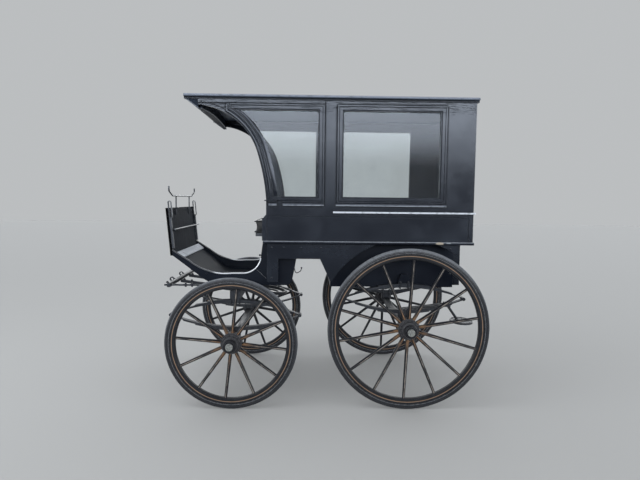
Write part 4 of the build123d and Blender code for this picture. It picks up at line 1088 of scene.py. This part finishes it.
# name, X of its middle, half width, height of its foot and paint
crown_boards = [
    ("header_crown", header_x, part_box("seat_back")[1].y, header_top.z, header_paint),
    ("rear_crown", rear_x, -wall_back.y - CROWN_IN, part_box("rear_wall")[1].z, wall_paint),
]
for name, x, half, foot_z, paint in crown_boards:
    bpy.ops.mesh.primitive_grid_add(x_subdivisions=CROWN_CUTS, y_subdivisions=1, size=1)
    crown = bpy.context.object
    for corner in crown.data.vertices:
        foot = Vector((x, corner.co.x * 2 * half, foot_z - CROWN_LAP))
        under_roof = cad["roof"].ray_cast(foot, (0, 0, 1))[1]
        corner.co = foot if corner.co.y < 0 else (foot.x, foot.y, under_roof.z + CROWN_LAP)
    modified(crown, "SOLIDIFY", thickness=CROWN_T, offset=0)
    finish(crown, name, paint)

# Seats: plain boards on risers. The driver's seat has a back board between the walls, and the two
# benches in the cabin face each other.
BOARD_TONES = (0.012, 0.0125, 0.014, 1), (0.026, 0.026, 0.028, 1), (0.18, 0.14, 0.1, 1)

inner_boards = old_paint("inner_boards", *BOARD_TONES, dust=0.3, shine=0.45, edge=0.003)
dress(["driver_seat", "seat_back", "bench_seats"], inner_boards)

# Cushions: box cushions of black leather cloth over horsehair, crowned in the middle, with a piped
# seam round the top and the bottom. The driver's has sagged hollow along its front.
LEATHER_BLACK = (0.007, 0.0075, 0.009, 1)
LEATHER_WORN = (0.017, 0.0175, 0.021, 1)
BENCH_DEPTH = 0.313
CUSHION_MARGIN = 0.012
CUSHION_ROUND = 0.012
FRONT_HOLLOW = 0.014
HOLLOW_REACH = 0.07
VOXEL = 0.008
STUFFING_PRESSURE = 4
STUFFING_FRAMES = 20
SWELL_LIMIT = 0.0115
SEAM_IN = 0.013
PIPING_R = 0.0055
PIPING_TURN = 0.02


def old_leather():
    """Grained black leather cloth, greyer where it is creased on top."""
    made, tree, shader = new_material("leather_cloth", 0.42, gloss=0.25)
    place = where(tree)
    tone = noise(place, 6)
    grain = noise(place, 420, 3)
    creases = noise(where(tree, unit=(0.12, 0.4, 0.12)), 3)
    top = step(facing(tree, "Z"), 0.3, 0.95, 0, 0.5)
    creased = times(top, step(creases, 0.3, 0.7))
    rub = larger(step(tone, 0.42, 0.75), creased)
    tree.links.new(step(tone, 0.3, 0.7, 0.36, 0.52), shader.inputs["Roughness"])
    relief = plus(times(grain, 0.3), creases)
    coat(shader, over(rub, LEATHER_BLACK, LEATHER_WORN), relief, 0.0012)
    return made


def stuff(made, low, high):
    """Blows up a cushion's crown by cloth simulation, held along its seams and its bottom."""
    seam = made.vertex_groups.new(name="seam")
    for corner in made.data.vertices:
        spot = corner.co
        near_edge = min(spot.z - low.z, high.z - spot.z)
        inside = min(spot.x - low.x, high.x - spot.x, spot.y - low.y, high.y - spot.y)
        if (near_edge < SEAM_IN and inside < SEAM_IN * 0.5) or spot.z < low.z + 0.004:
            seam.add([corner.index], 1.0, "REPLACE")
    cloth = made.modifiers.new("stuffing", "CLOTH")
    cloth.settings.use_pressure = True
    cloth.settings.uniform_pressure_force = STUFFING_PRESSURE
    cloth.settings.vertex_group_mass = "seam"
    cloth.settings.pin_stiffness = 1
    cloth.settings.effector_weights.gravity = 0
    cloth.settings.quality = 4
    cloth.point_cache.frame_start = 1
    cloth.point_cache.frame_end = STUFFING_FRAMES
    for moment in range(1, STUFFING_FRAMES + 1):
        bpy.context.scene.frame_set(moment)
    only(made)
    bpy.ops.object.modifier_apply(modifier=cloth.name)
    bpy.context.scene.frame_set(1)
    made.vertex_groups.clear()


def box_cushion(low, high, hollow):
    """A stuffed box cushion between two corners, its front drawn in between its seams by hollow."""
    made = bevelled(block((low + high) / 2, high - low), CUSHION_ROUND, 3)
    modified(made, "REMESH", mode="VOXEL", voxel_size=VOXEL)
    start = [corner.co.copy() for corner in made.data.vertices]
    stuff(made, low, high)
    middle_z = (low.z + high.z) / 2
    half_z = (high.z - low.z) / 2
    for corner, first in zip(made.data.vertices, start):
        moved = corner.co - first
        if moved.length > SWELL_LIMIT:
            corner.co = first + moved.normalized() * SWELL_LIMIT
        depth = max(0.0, 1 - (first.x - low.x) / HOLLOW_REACH)
        height = (first.z - middle_z) / half_z
        corner.co.x += hollow * depth * max(0.0, 1 - height * height)
    return modified(made, "SUBSURF", levels=1, render_levels=1)


def piping(low, high, z):
    """The corded seam round a cushion, at the height of its top or bottom edge."""
    corners = [(low.x, low.y), (high.x, low.y), (high.x, high.y), (low.x, high.y)]
    route = []
    for i, (x, y) in enumerate(corners):
        inward = [PIPING_TURN if at_low else -PIPING_TURN for at_low in (x == low.x, y == low.y)]
        centre = Vector((x + inward[0], y + inward[1], z))
        for part in range(7):
            angle = math.radians(180 + 90 * i + 15 * part)
            route.append(centre + Vector((math.cos(angle), math.sin(angle), 0)) * PIPING_TURN)
    return round_rod(route, PIPING_R, 3, closed=True)


leather = old_leather()
driver_low, driver_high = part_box("driver_cushion")
bench_low, bench_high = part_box("bench_cushions")
bench_corner = Vector((bench_low.x, bench_high.y - BENCH_DEPTH, bench_low.z))
# node, low and high corners of one cushion, how far its front is drawn in, whether it has a twin
cushions = [
    ("driver_cushion", driver_low, driver_high, FRONT_HOLLOW, False),
    ("bench_cushions", bench_corner, bench_high, 0.0, True),
]
for name, low, high, hollow, twin in cushions:
    low = low + Vector((CUSHION_MARGIN, CUSHION_MARGIN, 0.001))
    high = high - Vector((CUSHION_MARGIN, CUSHION_MARGIN, CUSHION_MARGIN))
    stuffed = box_cushion(low, high, hollow)
    made = join([stuffed, piping(low, high, low.z + 0.006), piping(low, high, high.z - 0.004)])
    if twin:
        made = repeat(made, [Matrix.Identity(4), Matrix.Scale(-1, 4, (0, 1, 0))])
    finish(made, name + "_stuffed", leather, angle=60)
    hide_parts(name)

# Rear door: one leaf with a sash above and a sunk panel below, on three hinges with countersunk
# screws. It closes on a lever handle with a round rose, against stops that are planted inside
# the wall.
BRASS_TONES = (0.3, 0.29, 0.26, 1), (0.42, 0.41, 0.38, 1), (0.7, 0.69, 0.66, 1)
STOP_IN, STOP_OUT = 0.264, 0.3
STOP_FOOT = 1.345
STOP_T = 0.0048
STOP_GAP = 0.0003
STOP_LAP = 0.012
STOP_OVER = 0.024
SCREW_R = 0.0045
SCREW_IN = 0.0065
HINGES_WITH_SCREWS = (1.48, 1.98)

handle_metal = old_paint("handle_metal", *BRASS_TONES, dust=0.2, wear=0.7, shine=0.3, edge=0.002, metal=0.9)
dress(["rear_door"], wall_paint)
dress(["door_handle"], handle_metal)
dress(["door_hinges"], iron)

door_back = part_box("rear_wall")[0].x
stop_x = door_back - STOP_GAP - STOP_T / 2
door_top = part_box("rear_door")[1].z
# Y from and to, Z from and to
bars = [
    ((STOP_IN, STOP_OUT), (STOP_FOOT, door_top + STOP_OVER)),
    ((-STOP_OUT, -STOP_IN), (STOP_FOOT, door_top + STOP_OVER)),
    ((-STOP_IN, STOP_IN), (door_top - STOP_LAP, door_top + STOP_OVER)),
]
stops = []
for (y0, y1), (z0, z1) in bars:
    bar = block((stop_x, (y0 + y1) / 2, (z0 + z1) / 2), (STOP_T, y1 - y0, z1 - z0))
    stops.append(bevelled(bar, 0.0012))
finish(join(stops), "door_stops", wall_paint)


def screw():
    """A slotted screw head, slightly domed."""
    bpy.ops.mesh.primitive_cylinder_add(vertices=20, radius=SCREW_R, depth=0.002)
    made = bevelled(bpy.context.object, 0.0007)
    slot = block((0, 0, 0.0012), (SCREW_R * 1.7, SCREW_R * 0.26, 0.0014))
    modified(made, "BOOLEAN", operation="DIFFERENCE", object=slot)
    bpy.data.objects.remove(slot)
    return made


screw_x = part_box("door_hinges")[1].x - SCREW_IN
spots = [(y, z + up) for z in HINGES_WITH_SCREWS for up in (-0.03, 0.03) for y in (0.29, 0.31)]
screws = repeat(screw(), [set_on((screw_x, y, z), (1, 0, 0)) for y, z in spots])
finish(screws, "hinge_screws", iron)

# Rear step: an oval iron tread on two rods from a block under the body, stayed from the axle.
# Its top has a raised rim and rows of studs for grip.
TREAD_HALF_X = 0.095
TREAD_HALF_Y = 0.13
TREAD_T = 0.012
TREAD_RIM_R = 0.0035
RIM_IN = 0.006
STUD_PITCH = 0.026
STUD_R = 0.0045
STUDS_IN = 0.018

dress(["rear_step"], iron)
step_low, step_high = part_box("rear_step")
tread_x = step_high.x - TREAD_HALF_X
tread_top = step_low.z + TREAD_T
bpy.ops.mesh.primitive_torus_add(major_segments=72, minor_segments=10, major_radius=1,
                                 minor_radius=TREAD_RIM_R, location=(tread_x, 0, tread_top))
rim = bpy.context.object
for corner in rim.data.vertices:
    out = Vector((corner.co.x, corner.co.y))
    along = out.normalized()
    thick = out.length - 1
    corner.co.x = along.x * (TREAD_HALF_X - RIM_IN + thick)
    corner.co.y = along.y * (TREAD_HALF_Y - RIM_IN + thick)
studs = []
for i in range(-3, 4):
    for j in range(-4, 5):
        x, y = i * STUD_PITCH, (j + 0.5 * (i % 2)) * STUD_PITCH
        if (x / (TREAD_HALF_X - STUDS_IN)) ** 2 + (y / (TREAD_HALF_Y - STUDS_IN)) ** 2 < 1:
            studs.append(set_on((tread_x + x, y, tread_top), (0, 0, 1)))
finish(join([rim, repeat(bolt_head(STUD_R), studs)]), "step_tread_studs", iron)

low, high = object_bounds()
